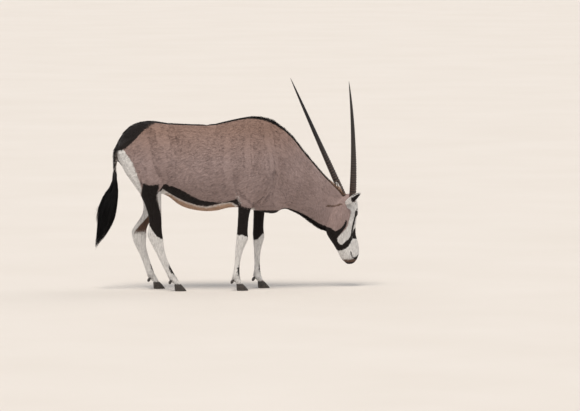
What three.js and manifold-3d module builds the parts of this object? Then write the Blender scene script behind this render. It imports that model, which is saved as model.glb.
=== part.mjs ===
// A gemsbok cow, life size, standing square on four feet with her head lowered and turned away to her left.
// Millimetres. +X is forward, +Y is the animal's left, +Z is up, and the floor is at Z = 0.
// The body is lofted from cross-sections along the back, the neck, the face and each leg, then parted by thin cuts.
import * as THREE from "three";
import { mergeVertices } from "three/addons/utils/BufferGeometryUtils.js";
import Module from "manifold-3d";

const wasm = await Module();
wasm.setup();

const GAP = 0.35; // clear space between neighbouring pieces
const DEGREE = Math.PI / 180;

// Coat, skin and horn colours
const FAWN = { color: 0x93786c, roughness: 0.85 };
const DARK_BROWN = { color: 0x2a1c18, roughness: 0.8 };
const BLACK_HAIR = { color: 0x0d0c0e, roughness: 0.6 };
const FACE_WHITE = { color: 0xcfc8c2, roughness: 0.85 };
const HORN_BLACK = { color: 0x2b221d, roughness: 0.5 };
const HOOF_GREY = { color: 0x3a3532, roughness: 0.5 };
const EYE_BROWN = { color: 0x120a07, roughness: 0.08 };

// Shapes as solids

function solidOf(geometry) {
  const bare = geometry.clone();
  bare.deleteAttribute("normal");
  bare.deleteAttribute("uv");
  const merged = mergeVertices(bare, 1e-3);
  const mesh = new wasm.Mesh({
    numProp: 3,
    vertProperties: new Float32Array(merged.attributes.position.array),
    triVerts: new Uint32Array(merged.index.array),
  });
  return new wasm.Manifold(mesh);
}

function geometryOf(solid) {
  const { vertProperties, triVerts } = solid.getMesh();
  const geometry = new THREE.BufferGeometry();
  geometry.setAttribute("position", new THREE.BufferAttribute(vertProperties, 3));
  geometry.setIndex(new THREE.BufferAttribute(triVerts, 1));
  geometry.computeVertexNormals();
  return geometry;
}

// The largest closed surface of a solid: fills sealed hollows and drops loose scraps.
function largestOf(solid) {
  return solid.decompose().reduce((best, piece) => (piece.volume() > best.volume() ? piece : best));
}

// Rounding vertices can pinch off a sliver or a hollow, so the largest surface is taken until nothing changes.
function settled(solid) {
  const next = largestOf(solidOf(geometryOf(solid)));
  return next.numTri() === solid.numTri() ? next : settled(next);
}

function union(solids) {
  return solids.reduce((all, one) => all.add(one));
}

// Rows of numbers resampled to a count of rows along a Catmull-Rom curve through them.
function resample(rows, count) {
  return Array.from({ length: count }, (_, k) => {
    const t = (k / (count - 1)) * (rows.length - 1);
    const i = Math.min(Math.floor(t), rows.length - 2);
    const f = t - i;
    const row = (n) => rows[Math.min(Math.max(n, 0), rows.length - 1)];
    return rows[i].map((_, c) => {
      const [a, b, d, e] = [row(i - 1)[c], row(i)[c], row(i + 1)[c], row(i + 2)[c]];
      return b + 0.5 * f * (d - a + f * (2 * a - 5 * b + 4 * d - e + f * (3 * (b - d) + e - a)));
    });
  });
}

// One cross-section: its centre, the unit vectors up and side, the reach above, below and to each side,
// and how full the upper and lower halves are (2 is an ellipse, more is boxier, less is more pointed).
function section(centre, upward, side, above, below, across, fullAbove = 2, fullBelow = 2) {
  return { centre, upward, side, above, below, across, fullAbove, fullBelow };
}

// A section whose up leans forward by tilt degrees from the vertical and which is turned left by turn degrees.
function leaning(x, y, z, tilt, turn, above, below, across, fullAbove, fullBelow) {
  const side = new THREE.Vector3(-Math.sin(turn * DEGREE), Math.cos(turn * DEGREE), 0);
  const ahead = new THREE.Vector3(Math.cos(turn * DEGREE), Math.sin(turn * DEGREE), 0);
  const upward = ahead.multiplyScalar(Math.sin(tilt * DEGREE));
  upward.z = Math.cos(tilt * DEGREE);
  return section(new THREE.Vector3(x, y, z), upward, side, above, below, across, fullAbove, fullBelow);
}

// A closed skin over sections, with each reach made greater by grow, and shaped by swell(point, outward).
function loft(sections, sides, grow = 0, swell = null) {
  const points = [];
  const power = (value, fullness) => Math.sign(value) * Math.abs(value) ** (2 / fullness);
  for (const s of sections) {
    for (let k = 0; k < sides; k++) {
      const angle = (2 * Math.PI * k) / sides;
      const [c, u] = [Math.cos(angle), Math.sin(angle)];
      const fullness = u > 0 ? s.fullAbove : s.fullBelow;
      const across = (s.across + grow) * power(c, fullness);
      const up = ((u > 0 ? s.above : s.below) + grow) * power(u, fullness);
      const point = s.centre.clone().addScaledVector(s.side, across).addScaledVector(s.upward, up);
      if (swell) {
        const outward = point.clone().sub(s.centre).normalize();
        point.addScaledVector(outward, swell(point));
      }
      points.push(point);
    }
  }
  const first = points.length;
  const last = first + 1;
  points.push(sections[0].centre, sections.at(-1).centre);
  const faces = [];
  const end = (sections.length - 1) * sides;
  for (let k = 0; k < sides; k++) {
    const next = (k + 1) % sides;
    faces.push(first, next, k, last, end + k, end + next);
    for (let i = 0; i < end; i += sides) {
      faces.push(i + k, i + next, i + sides + next, i + k, i + sides + next, i + sides + k);
    }
  }
  const geometry = new THREE.BufferGeometry().setFromPoints(points);
  geometry.setIndex(faces);
  return solidOf(geometry);
}

// A rounded mound or hollow of a given height, in a box of reaches, centred at a point.
function mound(at, reach, height) {
  return (p) => {
    const d = [(p.x - at[0]) / reach[0], (p.y - at[1]) / reach[1], (p.z - at[2]) / reach[2]];
    return height * Math.exp(-(d[0] ** 2 + d[1] ** 2 + d[2] ** 2));
  };
}

function moundsOf(mounds) {
  return (point) => mounds.reduce((sum, each) => sum + each(point), 0);
}

// An egg with its radii along a slant, along the way it looks, and across both; side -1 mirrors it in y.
function facing(centre, slant, look, radii, side, detail) {
  const mirrored = ([x, y, z]) => new THREE.Vector3(x, side * y, z);
  const out = mirrored(look).normalize();
  const lengthwise = mirrored(slant);
  lengthwise.addScaledVector(out, -out.dot(lengthwise)).normalize();
  const across = new THREE.Vector3().crossVectors(lengthwise, out);
  const geometry = new THREE.SphereGeometry(1, detail, Math.round(detail * 0.7));
  geometry.scale(...radii);
  const placed = new THREE.Matrix4().makeBasis(lengthwise, out, across).setPosition(mirrored(centre));
  return solidOf(geometry.applyMatrix4(placed));
}

// Trunk: distance forward, height of back and of belly, height and half of the greatest width,
// fullness of the upper and the lower half
const TRUNK_SIDES = 28;
const TRUNK_RINGS = 24;
const TRUNK = [
  [-752, 990, 925, 955, 32, 2, 2],
  [-738, 1028, 868, 945, 74, 2, 2],
  [-706, 1073, 828, 930, 116, 1.9, 2],
  [-652, 1121, 765, 915, 148, 1.8, 2],
  [-584, 1147, 710, 905, 166, 1.8, 2],
  [-495, 1149, 665, 890, 178, 1.8, 2.1],
  [-406, 1136, 636, 860, 192, 1.8, 2.1],
  [-311, 1129, 566, 835, 212, 1.9, 2.1],
  [-188, 1124, 535, 815, 227, 1.9, 2.1],
  [-85, 1127, 534, 815, 227, 1.8, 2.1],
  [17, 1151, 556, 825, 210, 1.7, 2.1],
  [106, 1171, 554, 830, 184, 1.6, 2.1],
  [181, 1177, 538, 820, 160, 1.6, 2.1],
  [263, 1165, 517, 790, 138, 1.6, 2],
  [331, 1136, 520, 780, 112, 1.6, 2],
  [370, 1090, 556, 775, 84, 1.8, 2],
  [394, 1030, 612, 770, 48, 2, 2],
];

function trunk(grow) {
  const sections = resample(TRUNK, TRUNK_RINGS).map(([x, back, belly, widest, half, upper, lower]) =>
    leaning(x, 0, widest, 0, 0, back - widest, widest - belly, half, upper, lower)
  );
  return loft(sections, TRUNK_SIDES, grow);
}

// Neck: x, y, z of the middle, lean and turn of the section, half of its depth, half of its width, fullness above
const NECK_SIDES = 24;
const NECK_RINGS = 12;
const UNDER_MANE = 4; // how far the skin of the crest lies under the mane's outline
const NECK = [
  [235, 0, 846, 0, 0, 318, 138, 1.5],
  [331, 4, 819, 5, 4, 302, 122, 1.6],
  [414, 16, 797, 6, 9, 252, 106, 1.7],
  [484, 34, 739, 9, 14, 214, 90, 1.8],
  [555, 58, 677, 13, 19, 186, 79, 1.8],
  [625, 86, 612, 17, 24, 170, 70, 1.8],
  [692, 114, 556, 19, 29, 159, 64, 1.9],
  [748, 138, 519, 21, 33, 135, 58, 2],
  [786, 152, 505, 24, 33, 96, 42, 2],
];

function neckSections() {
  return resample(NECK, NECK_RINGS).map(([x, y, z, lean, turn, deep, half, upper]) =>
    leaning(x, y, z, lean, turn, deep - UNDER_MANE, deep, half, upper, 2)
  );
}

// The head has a frame of its own: x towards the forehead, y to her left, z towards the horns.
// The face hangs straight down from the horns, and the whole head is turned away to the left.
const HEAD_AT = [823, 150, 614];
const HEAD_TURN = 33;
const HEAD_MATRIX = new THREE.Matrix4()
  .makeRotationZ(HEAD_TURN * DEGREE)
  .setPosition(...HEAD_AT);

function inHeadFrame(solid) {
  return solidOf(geometryOf(solid).applyMatrix4(HEAD_MATRIX));
}

// Head: distance down from the horns, front of the face, back of the skull or jaw, place and half of the
// greatest width, fullness of the face's and the jaw's half
const HEAD_SIDES = 28;
const HEAD_RINGS = 26;
const HEAD = [
  [-20, 48, 10, 30, 24, 2, 2],
  [-11, 62, -4, 28, 42, 2, 2],
  [4, 74, -34, 20, 56, 2.1, 2.1],
  [20, 80, -72, 11, 62, 2.1, 2.1],
  [42, 85, -108, 5, 67, 2.2, 2.3],
  [75, 87, -126, 5, 69, 2.2, 2.5],
  [112, 85, -140, 2, 69, 2.1, 2.7],
  [150, 80, -150, -6, 65, 2, 2.8],
  [190, 76, -160, -12, 61, 2, 2.8],
  [225, 76, -163, -12, 56, 2, 2.7],
  [260, 80, -150, -8, 51, 2, 2.5],
  [292, 91, -126, -3, 47, 2.1, 2.4],
  [322, 102, -101, 4, 46, 2.2, 2.3],
  [352, 107, -78, 13, 46, 2.3, 2.3],
  [380, 106, -58, 20, 47, 2.4, 2.2],
  [406, 98, -41, 25, 46, 2.4, 2.2],
  [430, 85, -23, 30, 41, 2.3, 2.1],
  [449, 69, 0, 33, 31, 2.2, 2],
  [460, 52, 14, 33, 16, 2, 2],
];

// Forms raised or sunk on the head, each mirrored: place, reach and height
const FACE_FORMS = [
  [[54, 54, -84], [24, 18, 24], 6], // brow over the eye
  [[8, 62, -135], [30, 18, 40], 4], // cheek bone under the eye
  [[-70, 56, -180], [50, 26, 56], 6], // chewing muscle
  [[26, 44, -240], [24, 24, 60], -6], // hollow along the nose bone
  [[36, 42, -396], [14, 14, 24], 4], // wing of the nostril
  [[-16, 36, -402], [16, 18, 26], 3], // lip at the corner of the mouth
];

const EYE_AT = [36, 48, -114];
const EYE_RADIUS = 19;
const EYE_LOOK = [0.36, 0.93, 0.06]; // the way the right distance between the lids faces
const EYE_SLANT = [0.34, 0, -0.94]; // from the back corner of the lids to the front one
const LIDS = [25, 22.4, 22.6]; // half length, reach and half height of the lids
const EYE_OPENING = [16.5, 12, 10.5];
const NOSTRIL_AT = [16, 45, -393];
const NOSTRIL = [19, 11, 5];
const NOSTRIL_LOOK = [0.1, 1, 0];
const NOSTRIL_SLANT = [0.41, 0, -0.91];
const MOUTH_WIDE = 130; // wider than the muzzle, so that the line runs right round it
const MOUTH_CORNER = [-12, 0, -376]; // back end of the line of the mouth
const MOUTH_LEAN = 17; // degrees that the line leans from straight down towards the nose
const MOUTH_LONG = 100;
const MOUTH_GAPE = 2.4;
const MOUTH_DEEP = 7;

function headLoft(grow) {
  const forms = FACE_FORMS.flatMap(([[x, y, z], reach, height]) =>
    [y, -y].map((side) => mound([x, side, z], reach, height))
  );
  const sections = resample(HEAD, HEAD_RINGS).map(([down, front, back, widest, half, face, jaw]) =>
    leaning(widest, 0, -down, 90, 0, front - widest, widest - back, half, face, jaw)
  );
  return loft(sections, HEAD_SIDES, grow, moundsOf(forms));
}

// The head with its lids, nostrils and mouth cut in, in its own frame.
function headForm() {
  let head = headLoft(0);
  const blade = new THREE.BoxGeometry(MOUTH_GAPE, MOUTH_WIDE, MOUTH_LONG);
  blade.translate(0, 0, -MOUTH_LONG / 2).rotateY(-MOUTH_LEAN * DEGREE).translate(...MOUTH_CORNER);
  head = head.subtract(solidOf(blade).subtract(headLoft(-MOUTH_DEEP)));
  for (const side of [1, -1]) {
    const opening = EYE_AT.map((value, i) => value + EYE_LOOK[i] * EYE_RADIUS);
    head = head.add(facing(EYE_AT, EYE_SLANT, EYE_LOOK, LIDS, side, 12));
    head = head.subtract(facing(opening, EYE_SLANT, EYE_LOOK, EYE_OPENING, side, 12));
    head = head.subtract(facing(NOSTRIL_AT, NOSTRIL_SLANT, NOSTRIL_LOOK, NOSTRIL, side, 8));
  }
  return head;
}

function eyeball(side, grow) {
  const radius = EYE_RADIUS + grow;
  return facing(EYE_AT, EYE_SLANT, EYE_LOOK, [radius, radius, radius], side, 12);
}

// Horns: each runs from its root to its tip with a slight bow, ringed over its lower part
const HORN_ROOT = [26, 36, -34];
const HORN_TIP = [-230, 321, 808];
const HORN_BOW = [11, 15, 0];
const HORN_RADIUS = 23.8;
const HORN_SIDES = 9;
const HORN_RINGED = 0.44; // share of its length that has rings
const HORN_RING_COUNT = 17;
const HORN_RING_RISE = 1.9;
const HORN_SMOOTH_STEPS = 9;

function horn(side) {
  const root = new THREE.Vector3(HORN_ROOT[0], side * HORN_ROOT[1], HORN_ROOT[2]);
  const tip = new THREE.Vector3(HORN_TIP[0], side * HORN_TIP[1], HORN_TIP[2]);
  const bow = new THREE.Vector3(HORN_BOW[0], side * HORN_BOW[1], HORN_BOW[2]);
  const along = tip.clone().sub(root).normalize();
  const across = new THREE.Vector3(1, 0, 0).addScaledVector(along, -along.x).normalize();
  const sideways = new THREE.Vector3().crossVectors(across, along);
  const at = (t, rise) => {
    const centre = root.clone().lerp(tip, t).addScaledVector(bow, 4 * t * (1 - t));
    const radius = Math.max(HORN_RADIUS * (1 - t) ** 0.6, 1.4) + rise;
    return section(centre, across, sideways, radius, radius, radius * 0.94);
  };
  const sections = [];
  for (let k = 0; k < HORN_RING_COUNT; k++) {
    const t = (HORN_RINGED * k) / HORN_RING_COUNT;
    const rise = HORN_RING_RISE * (1 - (0.6 * k) / HORN_RING_COUNT);
    const step = HORN_RINGED / HORN_RING_COUNT;
    sections.push(at(t, -0.3 * rise), at(t + 0.55 * step, rise));
  }
  for (let k = 0; k <= HORN_SMOOTH_STEPS; k++) {
    sections.push(at(HORN_RINGED + ((1 - HORN_RINGED) * k) / HORN_SMOOTH_STEPS, 0));
  }
  return loft(sections, HORN_SIDES);
}

// Ears: a rolled stalk that opens into a leaf-shaped cup, held out to the side
const EAR_ROOT = [-38, 38, -50];
const EARS = [
  { name: "ear_right", side: -1, tip: [-8, 172, 34], opens: [0.86, 0.1, -0.5] }, // pricked out to the side
  { name: "ear_left", side: 1, tip: [-30, 68, 98], opens: [0.62, 0.79, 0] }, // turned up behind the horn
];
const EAR_STEPS = 9;
const EAR_ARC = 7; // points across the cup
// share of the length, half width, depth of the back, depth of the hollow
const EAR = [
  [0, 17, 15, -12],
  [0.14, 21, 18, -4],
  [0.3, 27, 20, 14],
  [0.5, 31, 19, 14.5],
  [0.7, 27, 16, 11.5],
  [0.88, 15, 11, 7],
  [1, 3, 4, 1.5],
];

function ear({ side, tip, opens }) {
  const root = new THREE.Vector3(EAR_ROOT[0], side * EAR_ROOT[1], EAR_ROOT[2]);
  const along = new THREE.Vector3(tip[0], side * tip[1], tip[2]).sub(root);
  const open = new THREE.Vector3(opens[0], side * opens[1], opens[2]);
  open.addScaledVector(along, -open.dot(along) / along.lengthSq()).normalize();
  const across = new THREE.Vector3().crossVectors(open, along).normalize();
  const points = [];
  for (const [t, half, back, hollow] of resample(EAR, EAR_STEPS)) {
    const centre = root.clone().addScaledVector(along, t);
    const put = (q, depth) =>
      points.push(centre.clone().addScaledVector(across, half * q).addScaledVector(open, -depth));
    for (let k = 0; k <= EAR_ARC; k++) {
      const q = Math.cos((Math.PI * k) / EAR_ARC);
      put(q, back * Math.sqrt(1 - q * q));
    }
    for (let k = EAR_ARC - 1; k > 0; k--) {
      const q = Math.cos((Math.PI * k) / EAR_ARC);
      put(q * 0.93, hollow * Math.sqrt(1 - q * q));
    }
  }
  const ring = 2 * EAR_ARC;
  const faces = [];
  const end = (EAR_STEPS - 1) * ring;
  for (let k = 0; k < ring; k++) {
    const next = (k + 1) % ring;
    for (let i = 0; i < end; i += ring) {
      faces.push(i + k, i + ring + next, i + next, i + k, i + ring + k, i + ring + next);
    }
  }
  // Each end is closed by quads between the back and the hollow
  for (let k = 0; k < EAR_ARC; k++) {
    const [a, b, c, d] = [k, k + 1, (ring - k - 1) % ring, (ring - k) % ring];
    if (b !== c) {
      faces.push(a, b, c);
      faces.push(end + a, end + c, end + b);
    }
    if (a !== d) {
      faces.push(a, c, d);
      faces.push(end + a, end + d, end + c);
    }
  }
  const geometry = new THREE.BufferGeometry().setFromPoints(points);
  geometry.setIndex(faces);
  return solidOf(geometry);
}

// Legs: height, x of the middle on the right and on the left leg, y of the middle, half depth ahead and behind,
// half width, fullness ahead and behind
const LEG_SIDES = 16;
const HIND_RINGS = 24;
const HIND_LEG = [
  [1092, -560, -560, 66, 60, 60, 26, 2, 2],
  [1040, -572, -570, 88, 112, 112, 46, 2, 2],
  [965, -598, -592, 104, 150, 156, 62, 2, 2],
  [880, -590, -582, 115, 150, 148, 68, 2, 2],
  [800, -570, -562, 123, 128, 132, 62, 2, 2],
  [720, -547, -540, 128, 100, 98, 56, 2, 2],
  [650, -530, -522, 125, 76, 70, 46, 2, 1.9],
  [587, -515, -512, 120, 60, 58, 38, 2, 1.8],
  [520, -502, -523, 114, 48, 48, 32, 2, 1.7],
  [470, -496, -552, 110, 43, 46, 29, 2.1, 1.6],
  [428, -494, -576, 107, 42, 54, 28, 2.2, 1.5],
  [394, -496, -590, 105, 47, 58, 28, 2.3, 1.6],
  [362, -494, -592, 105, 50, 54, 27.5, 2.3, 1.7],
  [325, -482, -588, 105, 42, 48, 25, 2.2, 1.9],
  [285, -468, -578, 105, 34, 41, 22.5, 2.1, 2],
  [235, -449, -560, 105, 28, 34, 20.5, 2, 2],
  [176, -422, -538, 105, 24, 32, 20, 2, 2],
  [118, -392, -518, 105, 24, 32, 22, 2, 2],
  [84, -374, -505, 105, 26, 31, 26, 2.1, 2.1],
  [60, -360, -490, 105, 26, 26, 27, 2.2, 2.2],
  [50, -353, -483, 105, 20, 18, 24, 2.2, 2.2],
];
const FORE_RINGS = 24;
const FORE_LEG = [
  [1075, 195, 195, 58, 50, 60, 22, 2, 2],
  [1010, 192, 200, 84, 86, 96, 38, 2, 2],
  [900, 192, 212, 110, 108, 112, 50, 2, 2],
  [790, 192, 228, 121, 114, 112, 55, 2, 2],
  [700, 176, 238, 122, 108, 104, 53, 2, 2],
  [640, 144, 240, 121, 84, 82, 47, 2, 2],
  [590, 116, 234, 118, 56, 56, 42, 2, 2],
  [535, 104, 227, 114, 42, 42, 34, 2, 2],
  [470, 98, 222, 110, 38, 39, 30, 2, 2],
  [410, 94, 219, 106, 38, 38, 29, 2.2, 2],
  [370, 91, 218, 105, 41, 39, 30, 2.4, 2.1],
  [335, 87, 218, 105, 40, 38, 30, 2.4, 2.1],
  [300, 79, 217, 105, 33, 34, 26, 2.2, 2],
  [262, 71, 214, 105, 26, 28, 22, 2, 2],
  [220, 64, 212, 105, 22, 24, 20, 2, 2],
  [165, 57, 212, 105, 20, 22, 19, 2, 2],
  [118, 53, 212, 105, 23, 25, 22, 2, 2],
  [84, 53, 214, 105, 27, 31, 26, 2.1, 2.1],
  [60, 62, 224, 105, 26, 26, 27, 2.2, 2.2],
  [50, 68, 230, 105, 20, 18, 24, 2.2, 2.2],
];

// Feet: two claws side by side under two short toes, and two dew claws behind the fetlock
const TOE_TOP = 78;
const CORONET = 44; // height of the top of the claw
const TOE_APART = 17.5;
const TOE_LEAN = 26; // how far the claw stands ahead of the fetlock's middle
const TOE = [
  [TOE_TOP, -4, 19, 22, 12],
  [62, 8, 21, 22, 14.5],
  [CORONET, 22, 22, 24, 15.5],
];
// height, middle, reach ahead and behind, half width, fullness ahead
const CLAW = [
  [CORONET, 22, 21, 23, 15, 2],
  [34, 26, 27, 27, 16, 1.9],
  [18, 31, 36, 31, 16.6, 1.7],
  [4, 34, 43, 33, 16.6, 1.6],
  [0, 34, 41, 32, 15.6, 1.6],
];
const CLAW_SIDES = 14;
const DEW_CLAW = [
  [77, -20, 7, 8, 8],
  [67, -28, 9, 10, 9],
  [56, -33, 9, 9, 9],
  [48, -36, 5, 5, 6],
];
const DEW_APART = 14;

const LEGS = [
  { name: "hind_leg_right", rows: HIND_LEG, rings: HIND_RINGS, side: -1, ankle: -366 },
  { name: "hind_leg_left", rows: HIND_LEG, rings: HIND_RINGS, side: 1, ankle: -497 },
  { name: "fore_leg_right", rows: FORE_LEG, rings: FORE_RINGS, side: -1, ankle: 55 },
  { name: "fore_leg_left", rows: FORE_LEG, rings: FORE_RINGS, side: 1, ankle: 217 },
];
const ANKLE_WIDE = 105; // distance of each foot from the middle of the body

function legLoft({ rows, rings, side }, grow) {
  const sections = resample(rows, rings).map(([z, right, left, wide, ahead, behind, half, front, back]) =>
    leaning(side < 0 ? right : left, side * wide, z, 90, 0, ahead, behind, half, front, back)
  );
  return loft(sections, LEG_SIDES, grow);
}

function toe({ side, ankle }, apart, grow) {
  const sections = TOE.map(([z, x, ahead, behind, half]) =>
    leaning(ankle + x, side * ANKLE_WIDE + apart * TOE_APART, z, 90, 0, ahead, behind, half)
  );
  return loft(sections, CLAW_SIDES, grow);
}

function leg(which, grow) {
  return union([legLoft(which, grow), toe(which, 1, grow), toe(which, -1, grow)]);
}

function claw({ side, ankle }, apart) {
  const sections = CLAW.map(([z, x, ahead, behind, half, front], k) => {
    const height = k === 0 ? z - GAP : z;
    const y = side * ANKLE_WIDE + apart * TOE_APART;
    return leaning(ankle + x, y, height, 90, 0, ahead, behind, half, front, 2.2);
  });
  return loft(sections, CLAW_SIDES);
}

function dewClaw({ side, ankle }, apart) {
  const sections = DEW_CLAW.map(([z, x, ahead, behind, half]) =>
    leaning(ankle + x, side * ANKLE_WIDE + apart * DEW_APART, z, 90, 0, ahead, behind, half)
  );
  return loft(sections, 6);
}

// Tail: height, x of the middle, half depth, half width
const TAIL_SIDES = 12;
const TAIL = [
  [1000, -716, 26, 26],
  [975, -742, 24, 25],
  [945, -757, 21, 23],
  [880, -763, 17, 19],
  [810, -765, 13, 14],
  [760, -766, 11, 12],
  [740, -768, 6, 7],
];
// The tuft: height, x of its middle, half of its depth and of its width
const TUFT = [
  [812, -765, 15, 15],
  [770, -766, 20, 19],
  [704, -777, 38, 28],
  [634, -797, 54, 36],
  [566, -814, 65, 42],
  [496, -828, 68, 42],
  [426, -843, 54, 34],
  [371, -861, 36, 22],
  [330, -880, 22, 13],
  [305, -896, 6, 4],
];
const TUFT_LOCKS = 17;
const LOCK_SIDES = 4;
const LOCK_RINGS = 6;
const LOCK_WIDE = 17; // half width of a lock where it is widest
const LOCK_THICK = 7;
const TUFT_CORE = 0.42; // the core's share of the tuft's depth
const GOLDEN_ANGLE = 137.5;

function tail(grow) {
  const sections = TAIL.map(([z, x, deep, half]) => leaning(x, 0, z, 90, 0, deep, deep, half));
  return loft(sections, TAIL_SIDES, grow);
}

function rowAt(rows, share) {
  const t = share * (rows.length - 1);
  const i = Math.min(Math.floor(t), rows.length - 2);
  return rows[i].map((value, c) => value + (t - i) * (rows[i + 1][c] - value));
}

// One lock of the tuft: it leaves the tail's end, swells outwards and tapers to a point at its own height.
function tuftLock(k) {
  const angle = k * GOLDEN_ANGLE;
  const out = Math.sqrt((k + 0.5) / TUFT_LOCKS);
  const from = 0.08 + 0.28 * ((k * 0.38) % 1);
  const to = 1 - 0.42 * out * ((k * 0.62) % 1);
  const sections = Array.from({ length: LOCK_RINGS }, (_, i) => {
    const t = i / (LOCK_RINGS - 1);
    const [z, x, deep, half] = rowAt(TUFT, from + (to - from) * t);
    const spread = out * (0.25 + 0.65 * Math.min(1, 1.6 * t));
    const swell = Math.sin(Math.PI * Math.min(0.5 + 0.5 * t, 0.97)) ** 0.8 * (0.7 + 0.6 * t * (1 - t));
    return leaning(
      x + spread * deep * Math.cos(angle * DEGREE),
      spread * half * Math.sin(angle * DEGREE),
      z,
      90,
      angle,
      LOCK_THICK * swell,
      LOCK_THICK * swell,
      LOCK_WIDE * swell
    );
  });
  return loft(sections, LOCK_SIDES);
}

function tailTuft() {
  const coreRows = TUFT.slice(0, 8).map(([z, x, deep, half], i) => {
    const share = i < 2 ? 1 : TUFT_CORE;
    return leaning(x, 0, z, 90, 0, deep * share, deep * share, half * share);
  });
  const locks = Array.from({ length: TUFT_LOCKS }, (_, k) => tuftLock(k));
  return union([loft(coreRows, TAIL_SIDES), ...locks]);
}

// Mane: one low strip of short upright hair along the crest of the neck, sunk into it at both ends
const MANE_SIDES = 6;
const MANE_RINGS = 10;
const MANE_FROM = 0.08; // shares of the neck's length where the mane begins and ends
const MANE_TO = 0.84;
const MANE_DEEP = 12; // half its height
const MANE_SUNK = 8; // depth of its middle under the outline of the crest
const MANE_HALF = 8;

function maneStrip() {
  const sections = Array.from({ length: MANE_RINGS }, (_, i) => {
    const t = i / (MANE_RINGS - 1);
    const [x, y, z, lean, turn, deep] = rowAt(NECK, MANE_FROM + (MANE_TO - MANE_FROM) * t);
    const { centre, upward, side } = leaning(x, y, z, lean, turn, deep, deep, 0);
    const sunk = MANE_SUNK + MANE_DEEP * (2 * t - 1) ** 6;
    return section(centre.addScaledVector(upward, deep - sunk), upward, side, MANE_DEEP, MANE_DEEP, MANE_HALF);
  });
  return loft(sections, MANE_SIDES);
}

// Cuts that part the body: across the base of the neck and behind the head
const NECK_BASE_CUT = { at: [352, 0, 800], normal: [0.9, 0.12, 0.42] };
const THROAT_CUT = { at: [742, 132, 540], normal: [0.86, 0.42, -0.3] };

function halves(solid, { at, normal }) {
  const across = new THREE.Vector3(...normal).normalize();
  const offset = across.dot(new THREE.Vector3(...at));
  const ahead = solid.trimByPlane(across.toArray(), offset + GAP / 2);
  const behind = solid.trimByPlane(across.clone().negate().toArray(), -offset + GAP / 2);
  return { ahead, behind };
}

// Putting the animal together. The stations are measured from a point under the loins, and the finished
// animal is moved so that the middle of its whole length and width stands over the origin.

const LOINS_TO_MIDDLE = [-11.7, -25.2, 0];
const gemsbok = new THREE.Group();

function add(name, solid, finish) {
  const placed = largestOf(solid).translate(LOINS_TO_MIDDLE);
  const mesh = new THREE.Mesh(geometryOf(settled(placed)), new THREE.MeshStandardMaterial(finish));
  mesh.name = name;
  gemsbok.add(mesh);
}

const head = inHeadFrame(headForm());
const wholeBody = union([trunk(0), loft(neckSections(), NECK_SIDES), head, maneStrip()]);
const atNeck = halves(wholeBody, NECK_BASE_CUT);
const atThroat = halves(atNeck.ahead, THROAT_CUT);

let torso = atNeck.behind;
for (const which of LEGS) torso = torso.subtract(leg(which, GAP));
add("torso", torso, FAWN);
add("neck", LEGS.reduce((all, which) => all.subtract(leg(which, GAP)), atThroat.behind), FAWN);

let skull = atThroat.ahead;
for (const side of [1, -1]) skull = skull.subtract(inHeadFrame(eyeball(side, GAP)));
add("head", skull, FACE_WHITE);

const grownHead = inHeadFrame(headLoft(GAP)).add(loft(neckSections(), NECK_SIDES, GAP));
for (const [name, side] of [["left", 1], ["right", -1]]) {
  add(`eye_${name}`, inHeadFrame(eyeball(side, 0)), EYE_BROWN);
  add(`horn_${name}`, inHeadFrame(horn(side)).subtract(grownHead), HORN_BLACK);
}
for (const one of EARS) add(one.name, inHeadFrame(ear(one)).subtract(grownHead), FACE_WHITE);

for (const which of LEGS) {
  add(which.name, leg(which, 0), DARK_BROWN);
  for (const [place, apart] of [["inner", -which.side], ["outer", which.side]]) {
    add(`${which.name}_hoof_${place}`, claw(which, apart), HOOF_GREY);
    add(`${which.name}_dew_claw_${place}`, dewClaw(which, apart).subtract(leg(which, GAP)), HOOF_GREY);
  }
}

add("tail", tail(0).subtract(trunk(GAP)), BLACK_HAIR);
add("tail_tuft", tailTuft().subtract(tail(GAP)), BLACK_HAIR);

export default gemsbok;
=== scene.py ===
import bpy
import numpy as np
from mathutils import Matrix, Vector


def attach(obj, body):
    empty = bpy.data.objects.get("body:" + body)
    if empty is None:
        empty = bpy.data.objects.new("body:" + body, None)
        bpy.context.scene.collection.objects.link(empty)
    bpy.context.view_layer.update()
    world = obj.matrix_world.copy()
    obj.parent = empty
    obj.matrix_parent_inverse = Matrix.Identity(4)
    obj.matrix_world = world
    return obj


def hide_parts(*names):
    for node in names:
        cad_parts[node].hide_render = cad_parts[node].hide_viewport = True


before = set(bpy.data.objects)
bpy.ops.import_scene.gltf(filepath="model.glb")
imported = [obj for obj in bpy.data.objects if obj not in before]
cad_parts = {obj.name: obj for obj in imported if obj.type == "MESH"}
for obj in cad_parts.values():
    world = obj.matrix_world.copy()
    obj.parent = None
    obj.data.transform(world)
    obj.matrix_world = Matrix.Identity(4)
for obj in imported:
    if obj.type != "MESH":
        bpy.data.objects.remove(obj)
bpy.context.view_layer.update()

# Studio: a wide floor of matt paper-white vinyl under three large soft lamps. The camera stands far off on the
# animal's right, a little behind square and a little above the back.
FLOOR_RADIUS = 150.0
AIR_WHITE = "#E9ECF1"
AIM = Vector((0.4152, -0.0222, 0.5684))
CAMERA_AZIMUTH = np.radians(-5.0)
CAMERA_ELEVATION = np.radians(4.0)
CAMERA_DISTANCE = 40.0
SEEN_WIDTH = 3.944  # metres of the animal's plane across the picture
SENSOR_WIDTH = 36.0
FLOOR_SIDES = 64
AIR_LIGHT = 0.5
LAMPS = [  # height and bearing of each lamp in degrees, strength, spread in degrees and colour
    (66, -24, 2.3, 28, "#FFF5E8"),
    (40, 120, 0.7, 50, "#FFF8EE"),
    (30, 215, 0.4, 60, "#EEF3FF"),
]


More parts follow.
